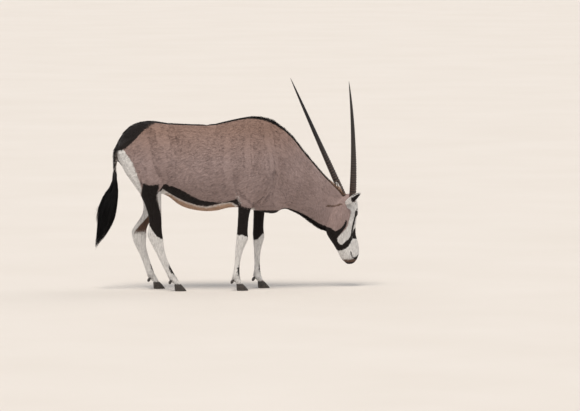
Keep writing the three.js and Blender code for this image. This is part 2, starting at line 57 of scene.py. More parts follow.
def linear(colour, alpha=1.0):
    """A hex sRGB colour as linear RGBA: (c + 0.055) / 1.055 to the power 2.4, or c / 12.92 when dark."""
    c = np.array([int(colour[k : k + 2], 16) / 255 for k in (1, 3, 5)])
    return (*np.where(c <= 0.04045, c / 12.92, ((c + 0.055) / 1.055) ** 2.4), alpha)


def add_node(tree, kind, sockets=None, links=None, stops=(), **settings):
    """One shader node with its settings, its socket values, and its links from other nodes' outputs. A ramp's
    stops are places and hex colours, with its two ends first."""
    made = tree.nodes.new("ShaderNode" + kind)
    for name, value in settings.items():
        setattr(made, name, value)
    for name, value in (sockets or {}).items():
        made.inputs[name].default_value = value
    for name, source in (links or {}).items():
        tree.links.new(source, made.inputs[name])
    for k, (place, shade) in enumerate(stops):
        stop = made.color_ramp.elements[k] if k < 2 else made.color_ramp.elements.new(place)
        stop.position, stop.color = place, linear(shade)
    return made


def new_material(name):
    """An empty node material, and its tree."""
    made = bpy.data.materials.new(name)
    made.use_nodes = True
    made.node_tree.nodes.clear()
    return made, made.node_tree


def surface(tree, sockets, links):
    """The one shader of a material, led to its output."""
    shader = add_node(tree, "BsdfPrincipled", sockets, links)
    add_node(tree, "OutputMaterial", links={"Surface": shader.outputs[0]})


def shaded(tree, colour, value, span, light):
    """A colour times a value whose span is spread over the light's range."""
    spread = {"From Min": span[0], "From Max": span[1], "To Min": light[0], "To Max": light[1]}
    times = add_node(tree, "MapRange", spread, {"Value": value}).outputs[0]
    links = {6: colour, 7: times}
    return add_node(tree, "Mix", {0: 1.0}, links, data_type="RGBA", blend_type="MULTIPLY").outputs[2]


def bearings(sides):
    """The angles of even steps round a circle."""
    return np.linspace(0, 2 * np.pi, sides, endpoint=False)


def mesh_piece(name, points, faces, material, smooth=True):
    """A mesh object at the origin from points in metres and an array of faces with equal corner counts."""
    mesh = bpy.data.meshes.new(name)
    corners = faces.shape[1]
    mesh.vertices.add(len(points))
    mesh.vertices.foreach_set("co", np.ascontiguousarray(points, np.float32).ravel())
    mesh.loops.add(faces.size)
    mesh.loops.foreach_set("vertex_index", faces.astype(np.int32).ravel())
    mesh.polygons.add(len(faces))
    mesh.polygons.foreach_set("loop_start", np.arange(len(faces), dtype=np.int32) * corners)
    mesh.polygons.foreach_set("use_smooth", np.full(len(faces), smooth))
    mesh.update(calc_edges=True)
    mesh.materials.append(material)
    piece = bpy.data.objects.new(name, mesh)
    bpy.context.collection.objects.link(piece)
    return piece


# Matt vinyl floor: IOR 1.5, rough enough that it mirrors nothing, with a faint cloudiness
floor_finish, tree = new_material("matt_floor_vinyl")
spot = add_node(tree, "TexCoord").outputs["Object"]
cloud = add_node(tree, "TexNoise", {"Scale": 0.8, "Detail": 3}, {"Vector": spot}).outputs["Fac"]
tint = add_node(tree, "ValToRGB", links={"Fac": cloud}, stops=[(0, "#D5CFC8"), (1, "#DDD8D3")]).outputs[0]
surface(tree, {"Roughness": 0.9, "IOR": 1.5}, {"Base Color": tint})

turn = bearings(FLOOR_SIDES)
rim = np.stack([FLOOR_RADIUS * np.cos(turn), FLOOR_RADIUS * np.sin(turn), 0 * turn], 1)
floor = mesh_piece("floor", rim, np.arange(FLOOR_SIDES)[None, :], floor_finish)

air = bpy.data.worlds.new("pale_air")
air.use_nodes = True
glow = air.node_tree.nodes["Background"].inputs
glow["Color"].default_value = linear(AIR_WHITE)
glow["Strength"].default_value = AIR_LIGHT
bpy.context.scene.world = air
bpy.context.scene.view_settings.view_transform = "Standard"


def facing(place, target):
    """The turn that points an object's -Z from place to target, with +Y up."""
    return (Vector(target) - Vector(place)).to_track_quat("-Z", "Y")


for k, (high, bearing, strength, spread, colour) in enumerate(LAMPS):
    lamp = bpy.data.lights.new(f"soft_lamp_{k + 1}", "SUN")
    lamp.energy = strength
    lamp.angle = np.radians(spread)
    lamp.color = linear(colour)[:3]
    high, bearing = np.radians(high), np.radians(bearing)
    place = (np.sin(bearing) * np.cos(high), -np.cos(bearing) * np.cos(high), np.sin(high))
    holder = bpy.data.objects.new(lamp.name, lamp)
    holder.rotation_mode = "QUATERNION"
    holder.rotation_quaternion = facing(place, (0, 0, 0))
    bpy.context.collection.objects.link(holder)

level = CAMERA_DISTANCE * np.cos(CAMERA_ELEVATION)
rise = CAMERA_DISTANCE * np.sin(CAMERA_ELEVATION)
eye_point = AIM + Vector((level * np.sin(CAMERA_AZIMUTH), -level * np.cos(CAMERA_AZIMUTH), rise))
camera = bpy.data.objects.new("camera", bpy.data.cameras.new("camera"))
camera.data.sensor_width = SENSOR_WIDTH
camera.data.lens = SENSOR_WIDTH * CAMERA_DISTANCE / SEEN_WIDTH
camera.data.clip_end = 10 * CAMERA_DISTANCE
camera.location = eye_point
camera.rotation_mode = "QUATERNION"
camera.rotation_quaternion = facing(eye_point, AIM)
bpy.context.collection.objects.link(camera)
bpy.context.scene.camera = camera

# Skin: the body under the hair, one closed surface from muzzle to tail root. It is thin hide over muscle and
# bone. Trunk, neck, head, legs and tail root are each drawn from cross-sections in millimetres, melted into
# one surface, smoothed where they meet, and raised and sunk where muscles and bones show.
LOINS_TO_MIDDLE = np.array([-11.7, -25.2, 0.0])  # the stations are measured from a point under the loins
COAT_DEPTH = 3.0  # flat hair over the body
FACE_COAT_DEPTH = 1.6
LEG_COAT_DEPTH = 2.0
DOCK_COAT_DEPTH = 1.5
TOE_COAT_DEPTH = 1.0
MELT = 3.4  # grain of the melted surface
SMOOTHINGS = 90
SKIN_KEPT = 0.262  # share of the melted surface's triangles that the skin keeps

# distance forward, height of back and of belly, height and half of the greatest width, fullness above, below
TRUNK = [
    [-752, 990, 925, 955, 32, 2, 2],
    [-738, 1028, 868, 945, 74, 2, 2],
    [-706, 1073, 828, 930, 116, 1.9, 2],
    [-652, 1121, 765, 915, 148, 1.8, 2],
    [-584, 1147, 710, 905, 166, 1.8, 2],
    [-495, 1149, 665, 890, 178, 1.8, 2.1],
    [-406, 1136, 636, 860, 192, 1.8, 2.1],
    [-311, 1129, 566, 835, 212, 1.9, 2.1],
    [-188, 1124, 535, 815, 227, 1.9, 2.1],
    [-85, 1127, 534, 815, 227, 1.8, 2.1],
    [17, 1151, 556, 825, 210, 1.7, 2.1],
    [106, 1171, 554, 830, 184, 1.6, 2.1],
    [181, 1177, 538, 820, 160, 1.6, 2.1],
    [263, 1165, 517, 790, 138, 1.6, 2],
    [331, 1136, 520, 780, 112, 1.6, 2],
    [370, 1090, 556, 775, 84, 1.8, 2],
    [394, 1030, 612, 770, 48, 2, 2],
]
# x, y, z of the middle, lean and turn of the section, half of its depth, half of its width, fullness above
NECK = [
    [235, 0, 846, 0, 0, 318, 138, 1.5],
    [331, 4, 819, 5, 4, 302, 122, 1.6],
    [414, 16, 797, 6, 9, 252, 106, 1.7],
    [484, 34, 739, 9, 14, 214, 90, 1.8],
    [555, 58, 677, 13, 19, 186, 79, 1.8],
    [625, 86, 612, 17, 24, 170, 70, 1.8],
    [692, 114, 556, 19, 29, 159, 64, 1.9],
    [748, 138, 519, 21, 33, 135, 58, 2],
    [786, 152, 505, 24, 33, 96, 42, 2],
]
UNDER_MANE = 6
# The head has a frame of its own: u down from the horns, v towards the forehead, w to the animal's left
HEAD_AT = np.array([823.0, 150.0, 614.0])
HEAD_TURN = 33
# u, front of the face, back of the skull or jaw, place and half of the greatest width, fullness of both
HEAD = [
    [-20, 48, 10, 30, 24, 2, 2],
    [-11, 62, -4, 28, 42, 2, 2],
    [4, 74, -34, 20, 56, 2.1, 2.1],
    [20, 80, -72, 11, 62, 2.1, 2.1],
    [42, 85, -108, 5, 67, 2.2, 2.3],
    [75, 87, -126, 5, 69, 2.2, 2.5],
    [112, 85, -140, 2, 69, 2.1, 2.7],
    [150, 80, -150, -6, 65, 2, 2.8],
    [190, 76, -160, -12, 61, 2, 2.8],
    [225, 76, -163, -12, 56, 2, 2.7],
    [260, 80, -150, -8, 51, 2, 2.5],
    [292, 91, -126, -3, 47, 2.1, 2.4],
    [322, 102, -101, 4, 46, 2.2, 2.3],
    [352, 107, -78, 13, 46, 2.3, 2.3],
    [380, 106, -58, 20, 47, 2.4, 2.2],
    [406, 98, -41, 25, 46, 2.4, 2.2],
    [430, 85, -23, 30, 41, 2.3, 2.1],
    [449, 69, 0, 33, 31, 2.2, 2],
    [460, 52, 14, 33, 16, 2, 2],
]
# height, x of the middle on the right and on the left leg, y of the middle, reach ahead and behind, half width,
# fullness ahead and behind
HIND_LEG = [
    [1092, -560, -560, 66, 60, 60, 26, 2, 2],
    [1040, -572, -570, 88, 112, 112, 46, 2, 2],
    [965, -598, -592, 104, 150, 156, 62, 2, 2],
    [880, -590, -582, 115, 150, 148, 68, 2, 2],
    [800, -570, -562, 123, 128, 132, 62, 2, 2],
    [720, -547, -540, 128, 100, 98, 56, 2, 2],
    [650, -530, -522, 125, 76, 70, 46, 2, 1.9],
    [587, -515, -512, 120, 60, 58, 38, 2, 1.8],
    [520, -502, -523, 114, 48, 48, 32, 2, 1.7],
    [470, -496, -552, 110, 43, 46, 29, 2.1, 1.6],
    [428, -494, -576, 107, 42, 54, 28, 2.2, 1.5],
    [394, -496, -590, 105, 47, 58, 28, 2.3, 1.6],
    [362, -494, -592, 105, 50, 54, 27.5, 2.3, 1.7],
    [325, -482, -588, 105, 42, 48, 25, 2.2, 1.9],
    [285, -468, -578, 105, 34, 41, 22.5, 2.1, 2],
    [235, -449, -560, 105, 28, 34, 20.5, 2, 2],
    [176, -422, -538, 105, 24, 32, 20, 2, 2],
    [118, -392, -518, 105, 24, 32, 22, 2, 2],
    [84, -374, -505, 105, 26, 31, 26, 2.1, 2.1],
    [60, -360, -490, 105, 26, 26, 27, 2.2, 2.2],
    [50, -353, -483, 105, 20, 18, 24, 2.2, 2.2],
]
FORE_LEG = [
    [1075, 195, 195, 58, 50, 60, 22, 2, 2],
    [1010, 192, 200, 84, 86, 96, 38, 2, 2],
    [900, 192, 212, 110, 108, 112, 50, 2, 2],
    [790, 192, 228, 121, 114, 112, 55, 2, 2],
    [700, 176, 238, 122, 108, 104, 53, 2, 2],
    [640, 144, 240, 121, 84, 82, 47, 2, 2],
    [590, 116, 234, 118, 56, 56, 42, 2, 2],
    [535, 104, 227, 114, 42, 42, 34, 2, 2],
    [470, 98, 222, 110, 38, 39, 30, 2, 2],
    [410, 94, 219, 106, 38, 38, 29, 2.2, 2],
    [370, 91, 218, 105, 41, 39, 30, 2.4, 2.1],
    [335, 87, 218, 105, 40, 38, 30, 2.4, 2.1],
    [300, 79, 217, 105, 33, 34, 26, 2.2, 2],
    [262, 71, 214, 105, 26, 28, 22, 2, 2],
    [220, 64, 212, 105, 22, 24, 20, 2, 2],
    [165, 57, 212, 105, 20, 22, 19, 2, 2],
    [118, 53, 212, 105, 23, 25, 22, 2, 2],
    [84, 53, 214, 105, 27, 31, 26, 2.1, 2.1],
    [60, 62, 224, 105, 26, 26, 27, 2.2, 2.2],
    [50, 68, 230, 105, 20, 18, 24, 2.2, 2.2],
]
# height, x from the ankle, reach ahead and behind, half width, fullness ahead and behind of each short toe
TOE = [
    [78, -4, 19, 22, 12, 2, 2],
    [62, 8, 21, 22, 14.5, 2, 2],
    [44.6, 22, 22, 24, 15.5, 2, 2],
]
TOE_APART = 17.5
ANKLE_WIDE = 105  # from the middle to each foot
LEGS = [
    {"name": "hind_leg_right", "rows": HIND_LEG, "side": -1, "ankle": -366, "hind": True},
    {"name": "hind_leg_left", "rows": HIND_LEG, "side": 1, "ankle": -497, "hind": True},
    {"name": "fore_leg_right", "rows": FORE_LEG, "side": -1, "ankle": 55, "hind": False},
    {"name": "fore_leg_left", "rows": FORE_LEG, "side": 1, "ankle": 217, "hind": False},
]
# height, x of the middle, half depth, half width of the tail's root
TAIL = [
    [1000, -716, 26, 26],
    [975, -742, 24, 25],
    [945, -757, 21, 23],
    [880, -763, 17, 19],
    [810, -765, 13, 14],
    [760, -766, 11, 12],
    [740, -768, 6, 7],
]
EYE_AT = np.array([36.0, 48.0, -114.0])  # in v, w, -u; the right eye mirrors w
EYE_RADIUS = 19
EYE_LOOK = np.array([0.36, 0.93, 0.06])
EYE_SLANT = np.array([0.34, 0, -0.94])
LIDS = [26, 21.8, 20]  # half length, height off the ball and half opening of the flesh round the eye


def metres(points):
    """Points in millimetres from the loins, as metres from the model's middle."""
    return (points + LOINS_TO_MIDDLE) / 1000


def resampled(rows, count):
    """Rows at count even steps along the Catmull-Rom curve through them."""
    rows = np.array(rows, float)
    t = np.linspace(0, len(rows) - 1, count)
    i = np.minimum(t.astype(int), len(rows) - 2)
    f = (t - i)[:, None]
    a, b, c, d = (rows[np.clip(i + k, 0, len(rows) - 1)] for k in (-1, 0, 1, 2))
    return b + 0.5 * f * (c - a + f * (2 * a - 5 * b + 4 * c - d + f * (3 * (b - c) + d - a)))


def loft(centre, tilt, turned, above, below, across, full_above, full_below, sides, grow=0.0):
    """Rings of points. Round a ring the angle a gives across * sgn(cos a)|cos a|^(2/full) sideways and
    above or below * sgn(sin a)|sin a|^(2/full) along the section's up, which leans ahead by tilt degrees. All
    of these reaches are first made greater by grow."""
    tilt, turned = np.radians(tilt), np.radians(turned)
    side = np.stack([-np.sin(turned), np.cos(turned), 0 * turned], 1)
    upward = np.stack([np.cos(turned) * np.sin(tilt), np.sin(turned) * np.sin(tilt), np.cos(tilt)], 1)
    angle = bearings(sides)[None, :]
    c, s = np.cos(angle), np.sin(angle)
    full = np.where(s > 0, full_above[:, None], full_below[:, None])
    reach = np.where(s > 0, above[:, None], below[:, None]) + grow
    right = (across[:, None] + grow) * np.sign(c) * np.abs(c) ** (2 / full)
    up = reach * np.sign(s) * np.abs(s) ** (2 / full)
    return centre[:, None] + side[:, None] * right[..., None] + upward[:, None] * up[..., None]


def closed(grid):
    """A grid of rings as points and triangles, with a fan to a middle point over each end."""
    rings, sides = grid.shape[:2]
    points = np.vstack([grid.reshape(-1, 3), grid[0].mean(0), grid[-1].mean(0)])
    k = np.arange(sides)
    after = (k + 1) % sides
    low = (np.arange(rings - 1) * sides)[:, None]
    a, b, c, d = low + k, low + after, low + sides + after, low + sides + k
    walls = np.stack([np.stack([a, b, c], -1), np.stack([a, c, d], -1)]).reshape(-1, 3)
    first = np.stack([np.full(sides, rings * sides), after, k], -1)
    end = (rings - 1) * sides
    last = np.stack([np.full(sides, rings * sides + 1), end + k, end + after], -1)
    return points, np.vstack([walls, first, last])


def column(rows, sides, grow):
    """A loft of upright sections: rows of height, x, y, reach ahead and behind, half width, two fullnesses."""
    z, x, y, ahead, behind, half, front, back = rows.T
    flat = np.zeros(len(z))
    return loft(np.stack([x, y, z], 1), flat + 90, flat, ahead, behind, half, front, back, sides, grow)


def ball_axes(slant, look, side):
    """The unit ways along slant, along look and across both; side -1 mirrors them in y."""
    mirror = np.array([1, side, 1])
    out = look * mirror / np.linalg.norm(look)
    lengthwise = slant * mirror - out * np.dot(slant * mirror, out)
    lengthwise = lengthwise / np.linalg.norm(lengthwise)
    return np.stack([lengthwise, out, np.cross(lengthwise, out)])


def ball(polar, turn):
    """A grid of points on a sphere of radius 1 whose pole is along the second axis."""
    rings = np.sin(polar) * np.cos(turn), np.cos(polar) + 0 * turn, np.sin(polar) * np.sin(turn)
    return np.stack(rings, -1)


def egg(centre, slant, look, radii, side, detail):
    """A sphere scaled along its three axes, at a centre, open by a pinhole at its poles."""
    polar = np.linspace(0.02, np.pi - 0.02, detail)[:, None]
    grid = ball(polar, bearings(2 * detail)[None]) * radii
    return centre * np.array([1, side, 1]) + grid @ ball_axes(slant, look, side)


def from_head(points):
    """Points of the head's frame (v, w, -u) in the body's: turned left, then carried to HEAD_AT."""
    a = np.radians(HEAD_TURN)
    turned = np.array([[np.cos(a), np.sin(a), 0], [-np.sin(a), np.cos(a), 0], [0, 0, 1]])
    return points @ turned + HEAD_AT


def to_head(points):
    """The u, v and w of points of the body."""
    a = np.radians(HEAD_TURN)
    x, y, z = (points - HEAD_AT).T
    return -z, x * np.cos(a) + y * np.sin(a), -x * np.sin(a) + y * np.cos(a)


def folded_head(points):
    """Points in the head's frame, with its two sides on each other."""
    u, v, w = to_head(points)
    return np.stack([v, np.abs(w), -u], 1)


def leg_rows(leg, count):
    """The leg's rows at count steps, with the x of its own side and y to its own side."""
    rows = resampled(leg["rows"], count)
    x = rows[:, 1] if leg["side"] < 0 else rows[:, 2]
    return np.column_stack([rows[:, 0], x, leg["side"] * rows[:, 3], rows[:, 4:]])


def foot_rows(table, leg, apart, count):
    """The rows of one toe or claw of a leg, with x from the ankle and y apart from the foot's middle."""
    z, x, ahead, behind, half, front, back = np.array(table).T
    y = leg["side"] * ANKLE_WIDE + apart + 0 * z
    return resampled(np.column_stack([z, leg["ankle"] + x, y, ahead, behind, half, front, back]), count)


def head_form(depth):
    """The head in its own frame, drawn in by a depth."""
    down, front, rear, widest, half, full_face, full_jaw = resampled(HEAD, 110).T
    ahead, behind = front - widest, widest - rear
    rows = np.column_stack([-down, widest, 0 * down, ahead, behind, half, full_face, full_jaw])
    return column(rows, 96, -depth)


trunk_rows, neck_rows = resampled(TRUNK, 60), resampled(NECK, 40)
x, back, belly, widest, half, full_above, full_below = trunk_rows.T
middle = np.stack([x, 0 * x, widest], 1)
above, below = back - widest, widest - belly
trunk = loft(middle, 0 * x, 0 * x, above, below, half, full_above, full_below, 96, -COAT_DEPTH)
lean, turned, deep, half, full_above = neck_rows[:, 3:].T
middle = neck_rows[:, :3]
neck = loft(middle, lean, turned, deep - UNDER_MANE, deep, half, full_above, 2 + 0 * deep, 80, -COAT_DEPTH)
z, x, deep, half = resampled(TAIL, 24).T
dock = column(np.column_stack([z, x, 0 * z, deep, deep, half, 2 + 0 * z, 2 + 0 * z]), 32, -DOCK_COAT_DEPTH)
lumps = [trunk, neck, from_head(head_form(FACE_COAT_DEPTH)), dock]
for leg in LEGS:
    lumps.append(column(leg_rows(leg, 90), 48, -LEG_COAT_DEPTH))
    lumps += [column(foot_rows(TOE, leg, way * TOE_APART, 10), 28, -TOE_COAT_DEPTH) for way in (1, -1)]
for side in (1, -1):
    lumps.append(from_head(egg(EYE_AT, EYE_SLANT, EYE_LOOK, LIDS, side, 24)))


def joined(parts):
    """Several pairs of points and faces as one pair, with the faces' indices moved up."""
    starts = np.cumsum([0] + [len(points) for points, _ in parts[:-1]])
    return np.vstack([points for points, _ in parts]), np.vstack([f + k for (_, f), k in zip(parts, starts)])


def modified(piece, kind, **settings):
    """Runs one modifier on a piece and keeps its result as the piece's mesh."""
    modifier = piece.modifiers.new(kind.lower(), kind)
    for name, value in settings.items():
        setattr(modifier, name, value)
    made = bpy.data.meshes.new_from_object(piece.evaluated_get(bpy.context.evaluated_depsgraph_get()))
    piece.modifiers.clear()
    piece.data = made


def read(items, name, wide, kind=np.float32):
    """One property of all items of a mesh, as rows of wide numbers."""
    values = np.empty(len(items) * wide, kind)
    items.foreach_get(name, values)
    return values.reshape(-1, wide)


def points_of(piece):
    """The mesh's points in millimetres from the loins."""
    return read(piece.data.vertices, "co", 3).astype(float) * 1000 - LOINS_TO_MIDDLE


def set_points(piece, points):
    """Puts points in millimetres from the loins back into the mesh."""
    piece.data.vertices.foreach_set("co", metres(points).astype(np.float32).ravel())
    piece.data.update()


def normals_of(piece):
    """The mesh's unit normals at its points."""
    return read(piece.data.vertex_normals, "vector", 3).astype(float)


def smoothed(points, edges, share, rounds):
    """Each point moves, rounds times, by its share of the way to the mean of its neighbours."""
    a, b = edges.T
    count = len(points)
    neighbours = np.bincount(a, minlength=count) + np.bincount(b, minlength=count)
    for _ in range(rounds):
        mean = [np.bincount(a, points[b, k], count) + np.bincount(b, points[a, k], count) for k in range(3)]
        points = points + share[:, None] * (np.stack(mean, 1) / neighbours[:, None] - points)
    return points


def step(value, low, high):
    """0 below low and 1 above high, with 3t^2 - 2t^3 between; low may be the greater."""
    t = np.clip((value - low) / (high - low), 0, 1)
    return t * t * (3 - 2 * t)


# Planes between head and neck and between neck and trunk, as a point and the way ahead
THROAT_CUT = (np.array([742.0, 132.0, 540.0]), np.array([0.86, 0.42, -0.3]))
NECK_CUT = (np.array([352.0, 0.0, 800.0]), np.array([0.9, 0.12, 0.42]))


def beyond(points, cut):
    """How far points lie ahead of a plane, in millimetres."""
    at, normal = cut
    return (points - at) @ (normal / np.linalg.norm(normal))


plain_skin, _ = new_material("plain")
all_points, all_faces = joined([closed(lump) for lump in lumps])
skin = mesh_piece("skin", metres(all_points), all_faces, plain_skin)
modified(skin, "REMESH", mode="VOXEL", voxel_size=MELT / 1000, use_smooth_shade=True)

# The joints are smoothed most on the trunk, less down the legs and least on the head
points = points_of(skin)
softness = 0.08 + 0.42 * step(points[:, 2], 470, 680)
softness = softness * (1 - 0.9 * step(beyond(points, THROAT_CUT), -60, 30))
edges = read(skin.data.edges, "vertices", 2, np.int32)
set_points(skin, smoothed(points, edges, softness, SMOOTHINGS))


def bell(value):
    """exp(-value^2)."""
    return np.exp(-(value**2))


def bump(points, at, reach, height):
    """A rounded mound: height times exp of minus the squared distance over the reach, on both sides alike."""
    mirrored = np.stack([points[:, 0], np.abs(points[:, 1]), points[:, 2]], 1)
    return height * np.exp(-((((mirrored - at) / reach) ** 2).sum(1)))


def off_line(points, line):
    """Distance of each point to an open polyline, in as many dimensions as the line has."""
    line = np.array(line, float)
    nearest = np.full(len(points), np.inf)
    for a, b in zip(line[:-1], line[1:]):
        along = np.clip((points - a) @ (b - a) / ((b - a) @ (b - a)), 0, 1)
        nearest = np.minimum(nearest, np.linalg.norm(points - a - along[:, None] * (b - a), axis=1))
    return nearest


def furrow(points, line, wide, height, span=60):
    """A long ridge or groove seen from the side: height * exp(-(distance / wide)^2), faded at its ends."""
    flat = points[:, [0, 2]]
    ends = np.minimum(*(np.linalg.norm(flat - np.array(end, float), axis=1) for end in (line[0], line[-1])))
    fade = np.where(off_line(flat, line) < wide * 3, np.minimum(1, 0.15 + ends / span), 0)
    return height * fade * bell(off_line(flat, line) / wide)


def about_leg(points, leg):
    """Where points lie round a leg: s from -1 behind to 1 ahead, q from -1 inside to 1 outside, and their
    length r, which is 1 on the leg's surface."""
    rows = leg_rows(leg, 90)[::-1]
    x, y, ahead, behind, half = (np.interp(points[:, 2], rows[:, 0], rows[:, k]) for k in range(1, 6))
    off = points[:, 0] - x
    s = off / np.where(off > 0, ahead, behind)
    q = (points[:, 1] - y) * leg["side"] / half
    return s, q, np.hypot(s, q)


# Muscles and bones that show on both sides: place, reach and height
TRUNK_FORMS = [
    [(-505, 118, 1098), (42, 46, 30), 12],  # point of the hip
    [(-735, 72, 985), (38, 40, 36), 9],  # pin bone beside the tail
    [(-390, 165, 1030), (66, 80, 66), -13],  # hollow of the flank
    [(-150, 215, 850), (150, 90, 160), 6],  # ribs
    [(250, 128, 800), (44, 60, 46), 10],  # point of the shoulder
    [(110, 150, 850), (70, 60, 90), 6],  # muscle behind the shoulder blade
    [(70, 140, 690), (30, 50, 30), 8],  # point of the elbow
    [(-590, 175, 960), (70, 60, 60), 6],  # head of the thigh bone
    [(-560, 180, 840), (80, 60, 90), 6],  # thigh
    [(-462, 165, 735), (34, 60, 36), 9],  # knee cap
    [(150, 60, 545), (80, 50, 40), 6],  # breast between the forelegs
]
# Lines seen from the side: points as distance forward and height, width, height of ridge or depth of groove
TRUNK_LINES = [
    [[(240, 1120), (276, 1020), (300, 940), (312, 850), (314, 760)], 26, 3],  # front edge of the shoulder blade
    [[(282, 1090), (318, 1000), (340, 900), (350, 780), (354, 690)], 28, -4.5],  # hollow before it
    [[(128, 1140), (114, 1040), (104, 940), (112, 850)], 22, 2.5],  # ridge of the shoulder blade
    [[(30, 1100), (14, 960), (12, 840), (34, 740), (52, 690)], 34, -4.5],  # behind the shoulder
    [[(-479, 900), (-462, 820), (-448, 740)], 24, 5],  # fold of the flank
    [[(-440, 900), (-424, 820), (-404, 730)], 26, -4],
    [[(-505, 1080), (-470, 960), (-452, 840)], 28, 3],  # front of the thigh
    [[(-690, 950), (-650, 850), (-618, 760), (-596, 680)], 20, -3.5],  # between the thigh's two hind muscles
    [[(-540, 900), (-520, 800), (-508, 720)], 26, -3],
    [[(400, 900), (412, 800), (420, 700)], 30, 2.5],
    [[(300, 600), (423, 566), (526, 534), (628, 468)], 13, -5],  # groove over the throat
    [[(330, 640), (440, 606), (545, 570), (650, 514)], 20, 3],
    [[(330, 1000), (430, 930), (540, 830), (650, 720)], 28, -3],  # under the crest
    [[(45, 700), (90, 640), (140, 596), (200, 560)], 13, -7],  # fold behind the elbow
    [[(300, 690), (250, 620), (216, 560)], 14, -5],
]
# The same on the head, as u, v and w: mounds, then lines of u and v
FACE_FORMS = [
    [(98, 64, 56), (26, 18, 18), 5],  # brow over the eye
    [(140, 10, 62), (38, 28, 18), 4],  # cheek bone under the eye
    [(186, -74, 56), (54, 48, 26), 6],  # chewing muscle
    [(46, 10, 66), (26, 34, 20), -4],  # temple
    [(244, 30, 46), (56, 22, 22), -6],  # hollow along the nose bone
    [(280, -20, 50), (40, 20, 20), 3],  # upper lip's muscle
    [(396, 40, 44), (24, 14, 14), 4],  # wing of the nostril
    [(402, -16, 38), (26, 16, 16), 3],  # lip at the corner of the mouth
    [(450, 50, 0), (14, 20, 14), -2],  # groove of the upper lip
    [(132, 50, 58), (14, 10, 12), -3],  # inner corner of the eye
]
FACE_LINES = [
    [[(100, -96), (150, -112), (205, -120)], 10, -3],  # edge of the jaw muscle
    [[(150, 6), (190, -6), (232, -26)], 8, 3],  # crest of the cheek
    [[(350, -44), (364, -18), (384, -2)], 7, -2.5],  # fold at the mouth's corner
    [[(120, 14), (136, 4), (144, -12)], 6, -2.5],  # fold under the lower lid
]

points = points_of(skin)
normals = normals_of(skin)
z = points[:, 2]
on_body = 1 - step(beyond(points, THROAT_CUT), -25, 5)
sideways = step(np.abs(normals[:, 1]), 0.15, 0.5)
lift = sum(bump(points, *form) for form in TRUNK_FORMS)
lift = lift + 0.8 * sideways * sum(furrow(points, *line) for line in TRUNK_LINES)
for leg in LEGS:
    s, q, r = about_leg(points, leg)
    low = (r < 1.4) & (z < 600)
    tendon = bell((s + 0.3) / 0.2) * step(np.abs(q), 0.5, 0.9)
    lift = lift - low * 2.6 * tendon * step(z, 96, 140) * step(z, 340, 290)
    if leg["hind"]:
        hollow = bell((s + 0.42) / 0.22) * step(np.abs(q), 0.4, 0.9)
        lift = lift - low * 6 * hollow * step(z, 400, 440) * step(z, 610, 540)
        lift = lift + low * 2.5 * np.exp(-(((z - 372) / 20) ** 2) - ((s - 0.15) / 0.3) ** 2) * np.abs(q)
    else:
        lift = lift + low * 3 * bell((z - 352) / 22) * step(s, 0.1, 0.9)
        lift = lift - low * 3 * bell((s - 0.1) / 0.2) * step(z, 400, 440) * step(z, 620, 560)
u, v, w = to_head(points)
folded = np.stack([u, w, v], 1)
face = sum(bump(folded, (a, c, b), (p, r, q), height) for (a, b, c), (p, q, r), height in FACE_FORMS)
cheeks = step(np.abs(w), 20, 40)
for line, wide, height in FACE_LINES:
    face = face + cheeks * height * bell(off_line(np.stack([u, v], 1), line) / wide)
lift = lift * on_body + face * (1 - on_body)
set_points(skin, points + normals * lift[:, None])

# Fewer triangles where the skin is plain, more on the legs and most on the head
points = points_of(skin)
fine = skin.vertex_groups.new(name="fine")
in_head = beyond(points, THROAT_CUT) > -20
low_legs = points[:, 2] < 560
for wanted, weight in ((~in_head & ~low_legs, 0.0), (low_legs & ~in_head, 0.35), (in_head, 0.8)):
    fine.add(np.flatnonzero(wanted).tolist(), weight, "REPLACE")
modified(
    skin,
    "DECIMATE",
    decimate_type="COLLAPSE",
    ratio=SKIN_KEPT,
    vertex_group="fine",
    invert_vertex_group=True,
    vertex_group_factor=1.0,
)

# Openings of the skin: shallow hollows between the lids, at the nostrils and along the mouth, cut out of the
# skin where the real ones part, so that their edges are real lids and lips. Each is an egg or a thin blade, and
# the mouth's blade stops at a core inside the head.

# half length, depth and half height of the opening between the lids, and the same of a nostril
EYE_OPENING = [17, 12, 9.6]
NOSTRIL_AT = np.array([16.0, 45.0, -393.0])
NOSTRIL = [19, 11, 4.6]
NOSTRIL_LOOK = np.array([0.1, 1.0, 0.0])
NOSTRIL_SLANT = np.array([0.41, 0.0, -0.91])
MOUTH_CORNER = np.array([-12.0, 0.0, -376.0])
MOUTH_LEAN = 17
MOUTH_GAPE = 1.9
MOUTH_DEEP = 5
MOUTH_LONG = 100
MOUTH_HALF_WIDE = 65
cutters = []
for side in (1, -1):
    cutters.append(closed(egg(EYE_AT + EYE_LOOK * EYE_RADIUS, EYE_SLANT, EYE_LOOK, EYE_OPENING, side, 20)))
    cutters.append(closed(egg(NOSTRIL_AT, NOSTRIL_SLANT, NOSTRIL_LOOK, NOSTRIL, side, 16)))
tilt = np.radians(MOUTH_LEAN)
mouth_down = np.array([np.sin(tilt), 0, -np.cos(tilt)])
mouth_thick = np.array([np.cos(tilt), 0, np.sin(tilt)]) * MOUTH_GAPE / 2
mouth_wide = np.array([0, MOUTH_HALF_WIDE, 0])
ring = [(-1, -1), (1, -1), (1, 1), (-1, 1)]
ends = (MOUTH_CORNER, MOUTH_CORNER + mouth_down * MOUTH_LONG)
blade = np.array([[end + a * mouth_thick + mouth_wide * b for a, b in ring] for end in ends])


def cutter(name, shape):
    """A tool for cutting, from points of the head's frame and faces, measured from the loins."""
    points, faces = shape
    return mesh_piece(name, from_head(points) / 1000, faces, plain_skin)


